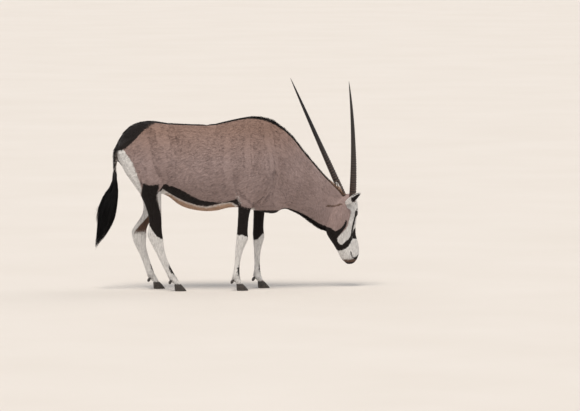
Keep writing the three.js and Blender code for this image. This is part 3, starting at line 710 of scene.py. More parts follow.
core = cutter("core", closed(head_form(MOUTH_DEEP)))
tools = [cutter("openings", joined(cutters)), cutter("mouth", closed(blade))]
modified(tools[1], "BOOLEAN", operation="DIFFERENCE", solver="EXACT", object=core)
for tool in tools:
    tool.location = LOINS_TO_MIDDLE / 1000
    bpy.context.view_layer.update()
    modified(skin, "BOOLEAN", operation="DIFFERENCE", solver="EXACT", object=tool)
for tool in (*tools, core):
    bpy.data.objects.remove(tool)

# Markings: the same black, white, tan and brown areas colour the skin and its hair; the tan under the belly is
# painted shade on its white underside. Each is worked out from its real outline as the distance inside its edge
# in millimetres, kept on the mesh at every point.
# distance forward and height, seen from the side
RUMP_EDGE = [
    (-760, 950), (-711, 965), (-685, 985), (-638, 1027), (-604, 1061), (-564, 1102), (-530, 1126),
    (-482, 1142),
]
BAND_TOP = [
    (-500, 724), (-464, 714), (-440, 727), (-425, 730), (-401, 723), (-362, 706), (-332, 696),
    (-274, 661), (-206, 625), (-159, 611), (-104, 607), (-56, 614), (-1, 619), (60, 628),
]
BAND_FOOT = [
    (-500, 700), (-459, 697), (-429, 684), (-399, 664), (-360, 642), (-330, 624), (-272, 601),
    (-204, 579), (-150, 573), (-116, 575), (-68, 592), (-26, 601), (15, 604), (44, 594), (80, 520),
    (190, 480),
]
# line of a fold of skin high on the neck, painted brown as the shade in the fold
NECK_CREASE = [(684, 560), (732, 557), (783, 570)]
ELBOW_LINE = [(50, 668), (53, 654), (57, 642), (63, 627), (78, 598)]
# height and distance forward
BUTTOCK_EDGE = [
    (620, -625), (642, -603), (706, -592), (726, -598), (774, -619), (836, -639), (890, -660),
    (932, -687), (959, -721),
]
# height, and share ahead of the hind leg's middle where its dark patch ends in front and behind
HIND_DARK_FRONT = [
    (420, 1.4), (440, 1.05), (489, 0.91), (534, 0.79), (594, 0.59), (644, 0.56), (679, 0.64), (705, 0.8),
    (716, 1.4),
]
HIND_DARK_BACK = [(560, -1.4), (640, -1.15), (655, -0.9), (670, -0.76), (710, -0.5), (760, -0.42)]
# share ahead of the leg's middle, and height where its dark patch ends below and above
HIND_DARK_FOOT = [(-1.2, 470), (-1, 455), (-0.36, 410), (0.1, 375), (0.66, 358), (1, 352)]
HIND_DARK_TOP = [
    (-0.6, 762), (-0.45, 756), (-0.32, 744), (-0.09, 733), (0.16, 724), (0.41, 722), (0.64, 732),
    (0.81, 728), (1.4, 718),
]
FORE_DARK_FOOT = [(-1.2, 384), (-0.64, 378), (0, 380), (0.49, 370), (0.9, 366)]
FORE_DARK_FOOT_INSIDE = [(-1.2, 337), (-0.92, 326), (-0.16, 336), (0.25, 353), (0.68, 373), (1, 376)]
FORE_DARK_TOP = [(-1.1, 602), (-0.86, 592), (-0.54, 579), (-0.2, 571), (0.64, 564), (1.1, 560)]
SHANK_PALE_TOP = [(-1, 466), (-0.4, 415), (0, 400), (1, 380)]
CANNON_SPOTS = {"hind": (142, 34), "fore": (136, 38)}  # height of the middle and half the height
CANNON_SPOT_BEARING, CANNON_SPOT_SPREAD = 15, 70  # degrees outwards of straight ahead, and to either side
# distance forward, and half of the width of the black lines on the back and under the throat
BACK_HALF = [(-480, 34), (-300, 27), (0, 26), (250, 28), (450, 20), (740, 14)]
THROAT_HALF = [(300, 12), (420, 16), (520, 24), (640, 33), (720, 40)]
# On the face, u and v pairs; of the blaze, u and half of its width; of the brow spots, u, v and radius
JAW_BLACK = [
    (189, -205), (198, -160), (211, -145), (226, -126), (216, -104), (197, -81), (171, -61), (153, -53),
    (162, -41), (193, -47), (219, -65), (244, -83), (261, -98), (279, -103), (299, -96), (318, -79),
    (323, -61), (307, -47), (289, -22), (274, -3), (254, 4), (226, 7), (195, 9), (164, 15), (133, 22),
    (118, 26), (114, 52), (137, 44), (165, 39), (196, 34), (227, 29), (255, 26), (274, 24), (290, 24),
    (303, 12), (318, 1), (339, -15), (353, -42), (363, -60), (356, -96), (290, -190), (224, -215),
]
BLAZE_HALF = [
    (20, 0), (44, 18), (80, 27), (112, 19), (140, 9), (180, 11), (205, 26), (222, 43), (250, 49),
    (284, 48), (290, 20), (294, 0),
]
FACE_WHITE_EDGE = [
    (-60, 90), (-20, 40), (0, 14), (20, -14), (40, -30), (60, -44), (74, -36), (83, -14), (100, -9),
    (131, -15), (166, -27), (193, -34), (212, -46), (243, -80), (274, -104), (330, -140),
]
# line of each nostril's slit, painted dark as the shade inside the opening
NOSTRIL_SLIT = [(374, 6), (392, 12), (410, 22), (419, 46)]
NOSE_BLACK = [(394, 82), (404, 66), (411, 46), (419, 34), (428, 44), (428, 70), (418, 92), (400, 110)]
BROW_SPOTS = [(84, 50, 5), (45, 39, 3)]
FAR = 60.0  # distances are kept within this


def along(pairs, value):
    """Straight steps through pairs of numbers, at each value."""
    pairs = np.array(pairs, float)
    return np.interp(value, pairs[:, 0], pairs[:, 1])


def depth_inside(flat, outline):
    """Distance to a closed outline, positive inside, where a ray crosses it an odd number of times."""
    ring = np.array(list(outline) + [outline[0]], float)
    inside = np.zeros(len(flat), bool)
    for (ax, ay), (bx, by) in zip(ring[:-1], ring[1:]):
        spans = (ay > flat[:, 1]) != (by > flat[:, 1])
        inside ^= spans & (flat[:, 0] < (bx - ax) * (flat[:, 1] - ay) / (by - ay + 1e-9) + ax)
    return np.where(inside, 1, -1) * off_line(flat, ring)


def least(*distances):
    """Inside all of several edges."""
    return np.minimum.reduce(np.broadcast_arrays(*distances))


def most(*distances):
    """Inside any of several edges."""
    return np.maximum.reduce(np.broadcast_arrays(*distances))


# Lines of the crest from tail to poll and of the throat, from the trunk's and the neck's sections
middle, (lean, turned, deep) = neck_rows[:, :3], neck_rows[:, 3:6].T
ones = np.ones(len(middle))
neck_up = loft(middle, lean, turned, ones, ones, ones, 2 * ones, 2 * ones, 4)[:, 1] - middle
neck_crest = middle + neck_up * (deep[:, None] - UNDER_MANE)
neck_throat = middle - neck_up * deep[:, None]
back_crest = np.column_stack([trunk_rows[:, 0], 0 * trunk_rows[:, 0], trunk_rows[:, 1]])
crest = np.vstack([back_crest[back_crest[:, 0] < 300][::2], neck_crest[neck_crest[:, 0] > 320][::2]])
throat = neck_throat[neck_throat[:, 0] > 300][::2]


def markings(points):
    """The distances inside the dark, pale, tan and brown areas, as four columns; the tan under the belly is
    painted shade.
    """
    x, y, z = points.T
    u, v, w = to_head(points)
    face = np.stack([u, v], 1)
    before_head = -beyond(points, THROAT_CUT)
    side_view = np.stack([x, z], 1)
    away = np.full(len(points), -FAR)
    leg_dark, leg_pale, leg_brown = away.copy(), away.copy(), away.copy()
    for leg in LEGS:
        s, q, r = about_leg(points, leg)
        here = (r < 1.25) & (z < 770) & (y * leg["side"] > 0)
        if leg["hind"]:
            front = (along(HIND_DARK_FRONT, z) - s) * FAR
            back = (s - along(HIND_DARK_BACK, z)) * FAR
            foot, top = z - along(HIND_DARK_FOOT, s), along(HIND_DARK_TOP, s) - z
            dark = least(front, back, foot, top, 4 + q * 40)
            gaskin = least(z - 386, 500 + 187 * np.minimum(s, 0.3) - z, (s + 0.62) * FAR, 10 - q * 30)
            spot_height, spot_half = CANNON_SPOTS["hind"]
            shank = along(SHANK_PALE_TOP, s) - z
            pale = most(shank, least(-front, 694 - z, z - 440), least(-q * 40 - 8, 690 - z))
        else:
            inside = step(-q, 0, 0.5)
            foot = along(FORE_DARK_FOOT, s) * (1 - inside) + along(FORE_DARK_FOOT_INSIDE, s) * inside
            dark = least(z - foot, along(FORE_DARK_TOP, s) - z)
            gaskin = away
            spot_height, spot_half = CANNON_SPOTS["fore"]
            pale = foot - z
        bearing = np.degrees(np.arctan2(q, s)) - CANNON_SPOT_BEARING
        spot = 9 - 9 * np.hypot((z - spot_height) / spot_half, bearing / CANNON_SPOT_SPREAD)
        leg_dark = np.where(here, most(leg_dark, dark, spot), leg_dark)
        leg_brown = np.where(here, most(leg_brown, 0.45 * gaskin), leg_brown)
        leg_pale = np.where(here, most(leg_pale, pale), leg_pale)
    back_line = along(BACK_HALF, x) - off_line(points, crest)
    streak = np.abs(x + 755) - 7 + 30 * step(np.abs(z - 860), 80, 110)
    tail_root = least(-700 - x, 990 - z, 34 - np.abs(y), streak)
    rump = least((z - along(RUMP_EDGE, x)) * 0.8, -470 - x)
    band = least(along(BAND_TOP, x) - z, z - along(BAND_FOOT, x), x + 500, 62 - x)
    brisket = least(540 - z, x - 186, 345 - x, 74 - np.abs(y))
    throat_line = along(THROAT_HALF, x) - off_line(points, throat)
    jaw = depth_inside(face, JAW_BLACK)
    jaw = np.where((u > 112) & (np.abs(w) > 8) | (u > 150) & (v < 0), jaw, -FAR)
    blaze = np.where(v > 8, along(BLAZE_HALF, u) - np.hypot(w, np.maximum(0, 58 - v) * 0.6), -FAR)
    # painted shade: a dark line along each nostril's slit stands in for the shade inside it
    nostril_slit_shade = np.where(np.abs(w) > 14, 4 - off_line(face, NOSTRIL_SLIT), -FAR)
    eye_rim = 1 - np.linalg.norm((folded_head(points) - EYE_AT - EYE_LOOK * 12) / (19, 19, 22), axis=1)
    spots = [np.where(np.abs(w) > 30, r - np.hypot(u - a, v - b), -FAR) for a, b, r in BROW_SPOTS]
    head_dark = most(jaw, blaze, depth_inside(face, NOSE_BLACK), nostril_slit_shade, eye_rim * 16, *spots)
    head_dark = np.where(before_head < 60, head_dark, -FAR)
    chin_dark = least(u - 446 + 0.1 * np.abs(v - 10), -before_head - 60)
    dark = most(back_line, tail_root, rump, band, throat_line, head_dark, chin_dark, brisket, leg_dark)
    belly = least(along(BAND_FOOT, x) - z, x + 470, 200 - x)
    buttock = least(along(BUTTOCK_EDGE, z) - x, z - 625, 968 - z)
    elbow = 5.5 - off_line(side_view, ELBOW_LINE)
    between = least(22 - np.hypot(x - 167, (z - 524) * 0.66), 62 - np.abs(y))
    head_pale = np.where(before_head < 40, v - along(FACE_WHITE_EDGE, u), -FAR)
    pale = most(belly, buttock, elbow, between, head_pale, leg_pale)
    # painted shade: the underside of the white belly is coloured tan-brown, as it looks in shade
    tan_and_belly_shade = least(belly - 7, 150 - np.abs(y), x + 420, z - 500, 90 - x)
    lips = least(u - 424 + 0.1 * (v - 10), -before_head - 60)
    tail_streak = least(-700 - x, 975 - z, z - 760, -streak)
    mane_side = least(30 - off_line(points, crest), x - 250) - 6
    # painted shade: a brown line along the fold of skin stands in for the shade inside it
    crease_shade = 1.5 * (5 - off_line(side_view, NECK_CREASE))
    brown = most(leg_brown, lips, tail_streak, mane_side, crease_shade)
    return np.clip(np.stack([dark, pale, tan_and_belly_shade, brown], 1), -FAR, FAR)


def put_values(piece, **columns):
    """Keeps one value for each of the mesh's points, under each name."""
    for name, values in columns.items():
        layer = piece.data.attributes.new(name, "FLOAT", "POINT")
        layer.data.foreach_set("value", values.astype(np.float32))


def put_markings(piece, values):
    """Keeps the four columns of the markings on the mesh."""
    put_values(piece, **dict(zip(("dark", "pale", "tan_and_belly_shade", "brown"), values.T)))


# Short antelope hair: dull, IOR about 1.5 and roughness 0.75 with a weak sheen along its flat lie. It is keratin
# coloured in the root, so edges of the markings are ragged by a hair's length. Locks about 8 mm wide and streaks
# of 3 mm are drawn along its lie, coarser than hair, so that they still show.
LIES = (-20, 48, -84)  # turn of the hair's lie about Y in degrees, on the trunk, the neck and the legs
LOCK, STREAK = (0.042, 0.0075), (0.018, 0.003)  # length and thickness in metres
coat_finish, tree = new_material("short_coat_hair")
spot = add_node(tree, "TexCoord").outputs["Object"]
reach = add_node(tree, "SeparateXYZ", links={"Vector": spot}).outputs
low = add_node(tree, "MapRange", {"From Min": 0.62, "From Max": 0.52}, {"Value": reach["Z"]}).outputs[0]
ahead = add_node(tree, "MapRange", {"From Min": 0.16, "From Max": 0.34}, {"Value": reach["X"]}).outputs[0]
locks, streaks = [], []
for turned in LIES:
    for kept, (length, thick) in ((locks, LOCK), (streaks, STREAK)):
        placing = {"Rotation": (0, np.radians(turned), 0), "Scale": (length, thick, thick)}
        placed = add_node(tree, "Mapping", placing, {"Vector": spot}, vector_type="TEXTURE").outputs[0]
        grain = {"Scale": 1.0, "Detail": 2, "Roughness": 0.55}
        kept.append(add_node(tree, "TexNoise", grain, {"Vector": placed}).outputs["Fac"])


def by_region(values):
    """One of three values: the legs' below the elbow, the neck's ahead of the shoulder, else the trunk's."""
    upper = add_node(tree, "Mix", links={0: ahead, 2: values[0], 3: values[1]}).outputs[0]
    return add_node(tree, "Mix", links={0: low, 2: upper, 3: values[2]}).outputs[0]


lock, streak = by_region(locks), by_region(streaks)
patchy = add_node(tree, "TexNoise", {"Scale": 7, "Detail": 4}, {"Vector": spot}).outputs["Fac"]
ragged = add_node(tree, "TexNoise", {"Scale": 90, "Detail": 3}, {"Vector": spot}).outputs["Fac"]
fray = add_node(tree, "Math", {1: 0.5}, {0: ragged}, operation="SUBTRACT").outputs[0]
fawn = add_node(tree, "ValToRGB", links={"Fac": patchy}, stops=[(0.3, "#94807C"), (0.7, "#A08C89")]).outputs[0]
warmth = add_node(tree, "MapRange", {"From Min": 0.88, "From Max": 1.1}, {"Value": reach["Z"]}).outputs[0]
colour = add_node(tree, "Mix", {7: linear("#8E7469")}, {0: warmth, 6: fawn}, data_type="RGBA").outputs[2]
# the tan colour is the poll's and the left ear's own, and painted shade under the belly
for name, shade, frayed, soft in (
    ("pale", "#E0DEDC", 16, 5),
    ("tan_and_belly_shade", "#B0907A", 30, 14),
    ("brown", "#5A4438", 18, 9),
    ("dark", "#150D0B", 14, 3),
):
    value = add_node(tree, "Attribute", attribute_name=name).outputs["Fac"]
    torn = add_node(tree, "Math", {1: frayed}, {0: fray, 2: value}, operation="MULTIPLY_ADD").outputs[0]
    edge = {"From Min": -soft, "From Max": soft}
    mask = add_node(tree, "MapRange", edge, {"Value": torn}, interpolation_type="SMOOTHSTEP").outputs[0]
    colour = add_node(tree, "Mix", {7: linear(shade)}, {0: mask, 6: colour}, data_type="RGBA").outputs[2]
for drawn, weak, strong in ((lock, 0.78, 1.2), (streak, 0.84, 1.14)):
    colour = shaded(tree, colour, drawn, (0.28, 0.72), (weak, strong))
relief = add_node(tree, "Bump", {"Strength": 0.3, "Distance": 0.001}, {"Height": streak}).outputs[0]
dull = {"Roughness": 0.75, "IOR": 1.5, "Specular IOR Level": 0.2, "Sheen Weight": 0.07, "Sheen Roughness": 0.5}
surface(tree, dull, {"Base Color": colour, "Normal": relief})

put_markings(skin, markings(points_of(skin)))
skin.data.materials.clear()
skin.data.materials.append(coat_finish)

body = ["torso", "neck", "head", "tail", *(leg["name"] for leg in LEGS)]
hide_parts(*body)
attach(skin, "root")

# Coat: the short flat hair itself, as thin solid tufts rooted in the skin. They lie back over the trunk, up
# the face and down the legs, and are longest on the body and smallest on the face and feet. They are of the
# short coat hair above and ride on the body as the skin does.
draw = np.random.default_rng(11)
PATCH = 0.003  # size of a tuft on the unwrap
BARE_EYE, BARE_NOSTRIL = (20, 20, 18), (12, 14, 19)  # half sizes of the places with no tufts
BARE_NOSE, BARE_FOOT = 436, 46  # u past which and height under which there are none
LEG_COAT_TOP = 560  # height to which the legs' coat pieces reach
LOINS_SPAN = (-420, -60)  # distances forward between which the trunk's coat is the loins'


def unwrap(points):
    """A place on a flat map: the trunk and neck unrolled round their middle line, head and legs likewise."""
    x, y, z = points.T
    u, v, w = to_head(points)
    on_trunk, on_neck = trunk_rows[trunk_rows[:, 0] < 300], neck_rows[neck_rows[:, 0] > 320]
    line = np.vstack([on_trunk[:, [0, 0, 3]] * (1, 0, 1), on_neck[:, :3]])
    yc, zc = (np.interp(x, line[:, 0], line[:, k]) for k in (1, 2))
    round_body = np.arctan2(y - yc, zc - z) / (2 * np.pi) + 0.5
    flat_map = np.stack([0.02 + 0.95 * (x + 930) / 1800, 0.52 + 0.46 * round_body], 1)
    for k, leg in enumerate(LEGS):
        s, q, r = about_leg(points, leg)
        on_leg = (r < 1.3) & (z < 640) & (y * leg["side"] > 0)
        round_leg = np.arctan2(q, s) / (2 * np.pi) + 0.5
        unrolled = np.stack([0.36 + 0.16 * k + 0.13 * round_leg, 0.02 + 0.46 * z / 700], 1)
        flat_map = np.where(on_leg[:, None], unrolled, flat_map)
    on_head = beyond(points, THROAT_CUT) > 0
    round_head = np.arctan2(w, v + 30) / (2 * np.pi) + 0.5
    unrolled = np.stack([0.02 + 0.32 * (u + 120) / 600, 0.02 + 0.46 * round_head], 1)
    return np.clip(np.where(on_head[:, None], unrolled, flat_map), 0.005, 0.99)


def hair_piece(name, centres, across, outward, wide, marks, finish, flatness=0.4, place=None):
    """Many tapered strands in one mesh. centres holds each strand's line of points, and round each but the last
    stand three corners: half of wide to either side along across, and flatness of it along outward. The last
    point is the tip. Each strand is closed at its root by one triangle."""
    count, rings = centres.shape[:2]
    arms = across * wide[..., None] / 2
    ridge = outward * wide[..., None] * flatness
    corners = np.stack([centres - arms, centres + arms, centres + ridge], 2)[:, :-1].reshape(count, -1, 3)
    points = np.concatenate([corners, centres[:, -1:]], 1)
    faces = [(0, 1, 2)]
    for k in range(0, 3 * (rings - 2), 3):
        for a, b in ((0, 1), (1, 2), (2, 0)):
            faces += [(k + a, k + 3 + b, k + b), (k + a, k + 3 + a, k + 3 + b)]
    tip, last = 3 * (rings - 1), 3 * (rings - 2)
    faces += [(last, tip, last + 1), (last + 1, tip, last + 2), (last + 2, tip, last)]
    faces = np.array(faces)
    per_strand = points.shape[1]
    all_faces = (faces[None] + (np.arange(count) * per_strand)[:, None, None]).reshape(-1, 3)
    piece = mesh_piece(name, metres(points.reshape(-1, 3)), all_faces, finish)
    put_markings(piece, np.repeat(marks, per_strand, 0))
    place = unwrap(centres[:, 0]) if place is None else place
    share = np.column_stack([np.arange(per_strand) % 3 / 2, np.arange(per_strand) / per_strand])
    patch = place[:, None] + PATCH * share[None]
    flat_map = piece.data.uv_layers.new(name="OFBake")
    flat_map.data.foreach_set("uv", patch.reshape(-1, 2)[all_faces.ravel()].astype(np.float32).ravel())
    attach(piece, "root")
    return piece


def unit(vectors):
    """Vectors made one long."""
    return vectors / np.maximum(np.linalg.norm(vectors, axis=-1, keepdims=True), 1e-9)


def laid(roots, normals, ways, long, wide, stand, shares=(0, 0.5, 1), sink=0.8):
    """The lines, arms, ridges and widths of strands that leave roots along ways. At each share s of its length a
    strand stands out by (2s - s^2) of stand, from sink under the skin, and has 1 - s^2 of its width."""
    shares = np.array(shares, float)
    out = (stand + sink)[:, None] * (2 * shares - shares**2) - sink
    centres = roots[:, None] + ways[:, None] * (long[:, None] * shares)[..., None]
    centres = centres + normals[:, None] * out[..., None]
    arms = np.repeat(unit(np.cross(ways, normals))[:, None], len(shares), 1)
    ridges = np.repeat(normals[:, None], len(shares), 1)
    return centres, arms, ridges, wide[:, None] * (1 - shares**2)


def swung(ways, normals, spread):
    """Ways turned a little at random to either side along the skin."""
    return unit(ways + unit(np.cross(normals, ways)) * draw.normal(0, spread, len(ways))[:, None])


def lie_of(points, normals):
    """The way the hair lies at each point, along the skin."""
    x, _, z = points.T
    a = np.radians(HEAD_TURN)
    near_leg = least(*(about_leg(points, leg)[2] for leg in LEGS)) < 1.4
    way = np.tile([-1.0, 0.0, -0.32], (len(points), 1))
    for share, lie in (
        (step(x, -480, -640), (-0.35, 0, -1)),
        (step(beyond(points, NECK_CUT), -60, 80), (-0.8, -0.3, 0.1)),
        (step(z, 640, 540) * near_leg, (-0.18, 0, -1)),
        (step(beyond(points, THROAT_CUT), -40, 30), (-0.35 * np.cos(a), -0.35 * np.sin(a), 1)),
    ):
        way = way * (1 - share[:, None]) + share[:, None] * np.array(lie)
    return unit(way - normals * (way * normals).sum(1, keepdims=True))


def scattered(piece, spacing_of):
    """Random roots on a mesh, one for each spacing_of square millimetres, with the skin's normals there."""
    mesh = piece.data
    mesh.calc_loop_triangles()
    corners = read(mesh.loop_triangles, "vertices", 3, np.int32)
    points, normals = points_of(piece), normals_of(piece)
    a, b, c = (points[corners[:, k]] for k in range(3))
    area = np.linalg.norm(np.cross(b - a, c - a), axis=1) / 2
    wanted = area / spacing_of((a + b + c) / 3)
    chosen = np.repeat(np.arange(len(area)), (wanted + draw.random(len(area))).astype(int))
    s, t = draw.random((2, len(chosen)))
    s, t = np.where(s + t > 1, 1 - s, s)[:, None], np.where(s + t > 1, 1 - t, t)[:, None]
    first, second, third = (corners[chosen, k] for k in range(3))
    roots = points[first] * (1 - s - t) + points[second] * s + points[third] * t
    return roots, unit(normals[first] * (1 - s - t) + normals[second] * s + normals[third] * t)


def face_share(points):
    """1 on the face, falling to 0 behind the jaw."""
    return step(beyond(points, THROAT_CUT), -190, 20)


def leg_share(points):
    """1 on the shanks and feet, falling to 0 over the elbow and the knee."""
    return step(points[:, 2], 640, 470) * (1 - face_share(points))


def spacing(points):
    """Square millimetres of skin for each tuft."""
    face, legs = face_share(points), leg_share(points)
    return 32 - 20 * face - 14 * legs


# None grows in the eyes and nostrils, on the bare nose or under the claws' edge
roots, root_normals = scattered(skin, spacing)
place = folded_head(roots)
clear = np.linalg.norm((place - EYE_AT - EYE_LOOK * EYE_RADIUS) / BARE_EYE, axis=1) > 1
clear &= np.linalg.norm((place - NOSTRIL_AT) / BARE_NOSTRIL, axis=1) > 1
clear &= (-place[:, 2] < BARE_NOSE) | (beyond(roots, THROAT_CUT) < 0)
clear &= roots[:, 2] > BARE_FOOT
roots, root_normals = roots[clear], root_normals[clear]
face, legs = face_share(roots), leg_share(roots)
marks = markings(roots)
count = len(roots)
ways = swung(lie_of(roots, root_normals), root_normals, 0.09)
x, y, z = roots.T
u, v, w = to_head(roots)
# Longer behind the fetlocks, under the ears and on the dock
fetlock = bell((z - 96) / 16) * most(*(step(-about_leg(roots, leg)[0], 0.2, 0.8) for leg in LEGS))
under_ear = face * np.exp(-(((u - 62) / 14) ** 2) - ((v + 18) / 16) ** 2)
marks[:, 1] = np.maximum(marks[:, 1], 40 * under_ear - 8)
dock = step(x, -742, -758)
long = 15 - 9.5 * face - 6 * legs + 10 * fetlock + 12 * under_ear + 14 * dock
stand = 0.7 - 0.3 * face - 0.2 * legs + 3 * fetlock + 5 * under_ear + 5 * dock
long = long * draw.uniform(0.75, 1.2, count)
wide = (2.1 - 1.0 * face - 0.6 * legs) * draw.uniform(0.8, 1.2, count)
stand = stand * draw.uniform(0.5, 1.3, count)
centres, arms, ups, widths = laid(roots, root_normals, ways, long, wide, stand)
on_face = face > 0.5
regions = {
    "coat_head_right": on_face & (w < 0),
    "coat_head_left": on_face & (w >= 0),
    "coat_neck": ~on_face & (beyond(roots, NECK_CUT) > 0),
    "coat_fore_legs": ~on_face & (z < LEG_COAT_TOP) & (x > 0),
    "coat_hind_legs": ~on_face & (z < LEG_COAT_TOP) & (x < -300),
}
rest = ~np.logical_or.reduce(list(regions.values()))
behind, ahead = x < LOINS_SPAN[0], x >= LOINS_SPAN[1]
for place, there in (("rear", behind), ("loins", ~behind & ~ahead), ("fore", ahead)):
    for hand, on_side in (("right", y < 0), ("left", y >= 0)):
        regions[f"coat_{place}_{hand}"] = rest & there & on_side
for name, chosen in regions.items():
    tufts = (rows[chosen] for rows in (centres, arms, ups, widths, marks))
    tufts = hair_piece(name, *tufts, coat_finish, 0.22)

# Mane and back hair: stiff dark hair that stands up along the spine, from the tail to the poll, longest on the
# neck. Each hair is a thin solid strand of the coat's hair rooted in the skin beside the crest.
NEAR_CREST = 12  # how far the standing hair reaches to either side
STRAND_SPACING = 5.0  # square millimetres of skin for each strand of the mane and the fringe
STRAND_SHARES = (0, 0.35, 0.7, 1)
NONE = 1e9
roots, root_normals = scattered(skin, lambda p: np.where(off_line(p, crest) < NEAR_CREST, STRAND_SPACING, NONE))
on_neck = step(beyond(roots, NECK_CUT), -60, 60)
count = len(roots)
middle_share = 1 - (off_line(roots, crest) / NEAR_CREST) ** 2
at_poll = step(roots[:, 0], 708, 738)
long = (15 + 8 * on_neck + 6 * at_poll) * draw.uniform(0.6, 1.25, count)
stand = (5 + 9 * on_neck + 5 * at_poll) * (0.35 + 0.65 * middle_share) * draw.uniform(0.5, 1.3, count)
ways = swung(lie_of(roots, root_normals), root_normals, 0.16)
marks = markings(roots)
marks[:, 0] = np.maximum(marks[:, 0], 12 - 20 * on_neck * draw.random(count))
marks[:, 0] = marks[:, 0] - 50 * at_poll
marks[:, 2] = np.maximum(marks[:, 2], 30 * at_poll)
marks[:, 3] = np.maximum(marks[:, 3], 12 * on_neck) - 60 * at_poll
strands = laid(roots, root_normals, ways, long, draw.uniform(1.4, 2.2, count), stand, STRAND_SHARES)
hair_piece("mane", *strands, marks, coat_finish)

# Throat fringe: a soft black fringe under the neck, from the chest to the jaw, as strands that hang down and
# back from the skin along the lower edge of the neck.
NEAR_THROAT = 13


def under_throat(points):
    """The spacing of the fringe: strands near the throat's line as far as the jaw, and none elsewhere."""
    near = (off_line(points, throat) < NEAR_THROAT) & (beyond(points, THROAT_CUT) < 40)
    return np.where(near, STRAND_SPACING, NONE)


roots, root_normals = scattered(skin, under_throat)
count = len(roots)
thick = step(roots[:, 0], 330, 620)
long = (11 + 12 * thick) * draw.uniform(0.7, 1.2, count)
stand = (3 + 10 * thick) * draw.uniform(0.5, 1.2, count)
ways = swung(lie_of(roots, root_normals), root_normals, 0.2)
marks = markings(roots)
marks[:, 0] = np.maximum(marks[:, 0], 10)
strands = laid(roots, root_normals, ways, long, draw.uniform(1.4, 2.2, count), stand, STRAND_SHARES)
hair_piece("throat_fringe", *strands, marks, coat_finish)

# Tail brush: long coarse black hair that grows from the lower half of the tail and hangs in one pointed tuft,
# drawn here as tapered strands that swell out with the tuft's section and end raggedly.

# height, x of the middle, half depth, half width of the tuft
BRUSH = [
    [812, -765, 14, 14],
    [770, -766, 19, 18],
    [704, -777, 36, 27],
    [634, -797, 51, 34],
    [566, -814, 61, 40],
    [496, -828, 64, 40],
    [426, -843, 51, 32],
    [371, -861, 34, 21],
    [330, -880, 20, 12],
    [300, -899, 5, 4],
]
BRUSH_STEPS = 9
BRUSH_SUNK = 2.5  # how far the roots are under the skin


def brush_lines(count, locks, spread, roots, tips, side=0.0):
    """Strands from heights on the tail's skin to tips at random heights, gathered in locks. At height z a strand
    keeps its bearing and its own share of the tuft's half depth and half width there, and leaves the skin for
    them over the first third of its length. Strays go to the given side by up to its millimetres at the tip."""
    lock = draw.integers(0, locks, count)
    bearing = draw.uniform(0, 2 * np.pi, locks)[lock] + draw.normal(0, 0.1, count)
    share = (np.sqrt(draw.random(locks)) * spread)[lock] + draw.normal(0, 0.03, count)
    start = draw.uniform(*roots, locks)[lock] + draw.normal(0, 8, count)
    end = draw.uniform(*tips, locks)[lock] + draw.normal(0, 14, count)
    t = np.linspace(0, 1, BRUSH_STEPS)
    z = start[:, None] + (end - start)[:, None] * t
    tuft, tail = np.array(BRUSH)[::-1], np.array(TAIL)[::-1]
    x, deep, wide = (np.interp(z, tuft[:, 0], tuft[:, k]) for k in (1, 2, 3))
    tail_x, tail_deep, tail_wide = (np.interp(z[:, :1], tail[:, 0], tail[:, k]) for k in (1, 2, 3))
    leave = step(t, 0, 0.35)[None]
    swing = draw.normal(0, 2.5, locks)[lock][:, None]
    sway = swing * np.sin(np.pi * t + draw.uniform(0, 6, locks)[lock][:, None])
    share, bearing_row = share[:, None], bearing[:, None]
    across = np.cos(bearing_row) * ((1 - leave) * (tail_deep - BRUSH_SUNK) + leave * deep * share)
    aside = np.sin(bearing_row) * ((1 - leave) * (tail_wide - BRUSH_SUNK) + leave * wide * share)
    drift = side * draw.uniform(0.4, 1, locks)[lock][:, None] * t**1.6
    middle_x = (1 - leave) * (tail_x + (z - z[:, :1]) * 0.02) + leave * x
    lines = np.stack([middle_x + across + sway - drift, aside + 0.5 * sway, z], 2)
    return lines, bearing, start


# Long black hair: keratin, IOR 1.55, roughness 0.5, so it has a soft gloss along each lock. Locks are drawn
# about 6 mm apart.
long_hair, tree = new_material("long_tail_hair")
spot = add_node(tree, "TexCoord").outputs["Object"]
hang = add_node(tree, "Mapping", {"Scale": (160, 160, 12)}, {"Vector": spot}).outputs[0]
lock = add_node(tree, "TexNoise", {"Scale": 1.0, "Detail": 3, "Roughness": 0.6}, {"Vector": hang}).outputs["Fac"]
tint = add_node(tree, "ValToRGB", links={"Fac": lock}, stops=[(0.38, "#040305"), (0.72, "#0D0B0D")]).outputs[0]
surface(tree, {"Roughness": 0.5, "IOR": 1.55, "Specular IOR Level": 0.22}, {"Base Color": tint})

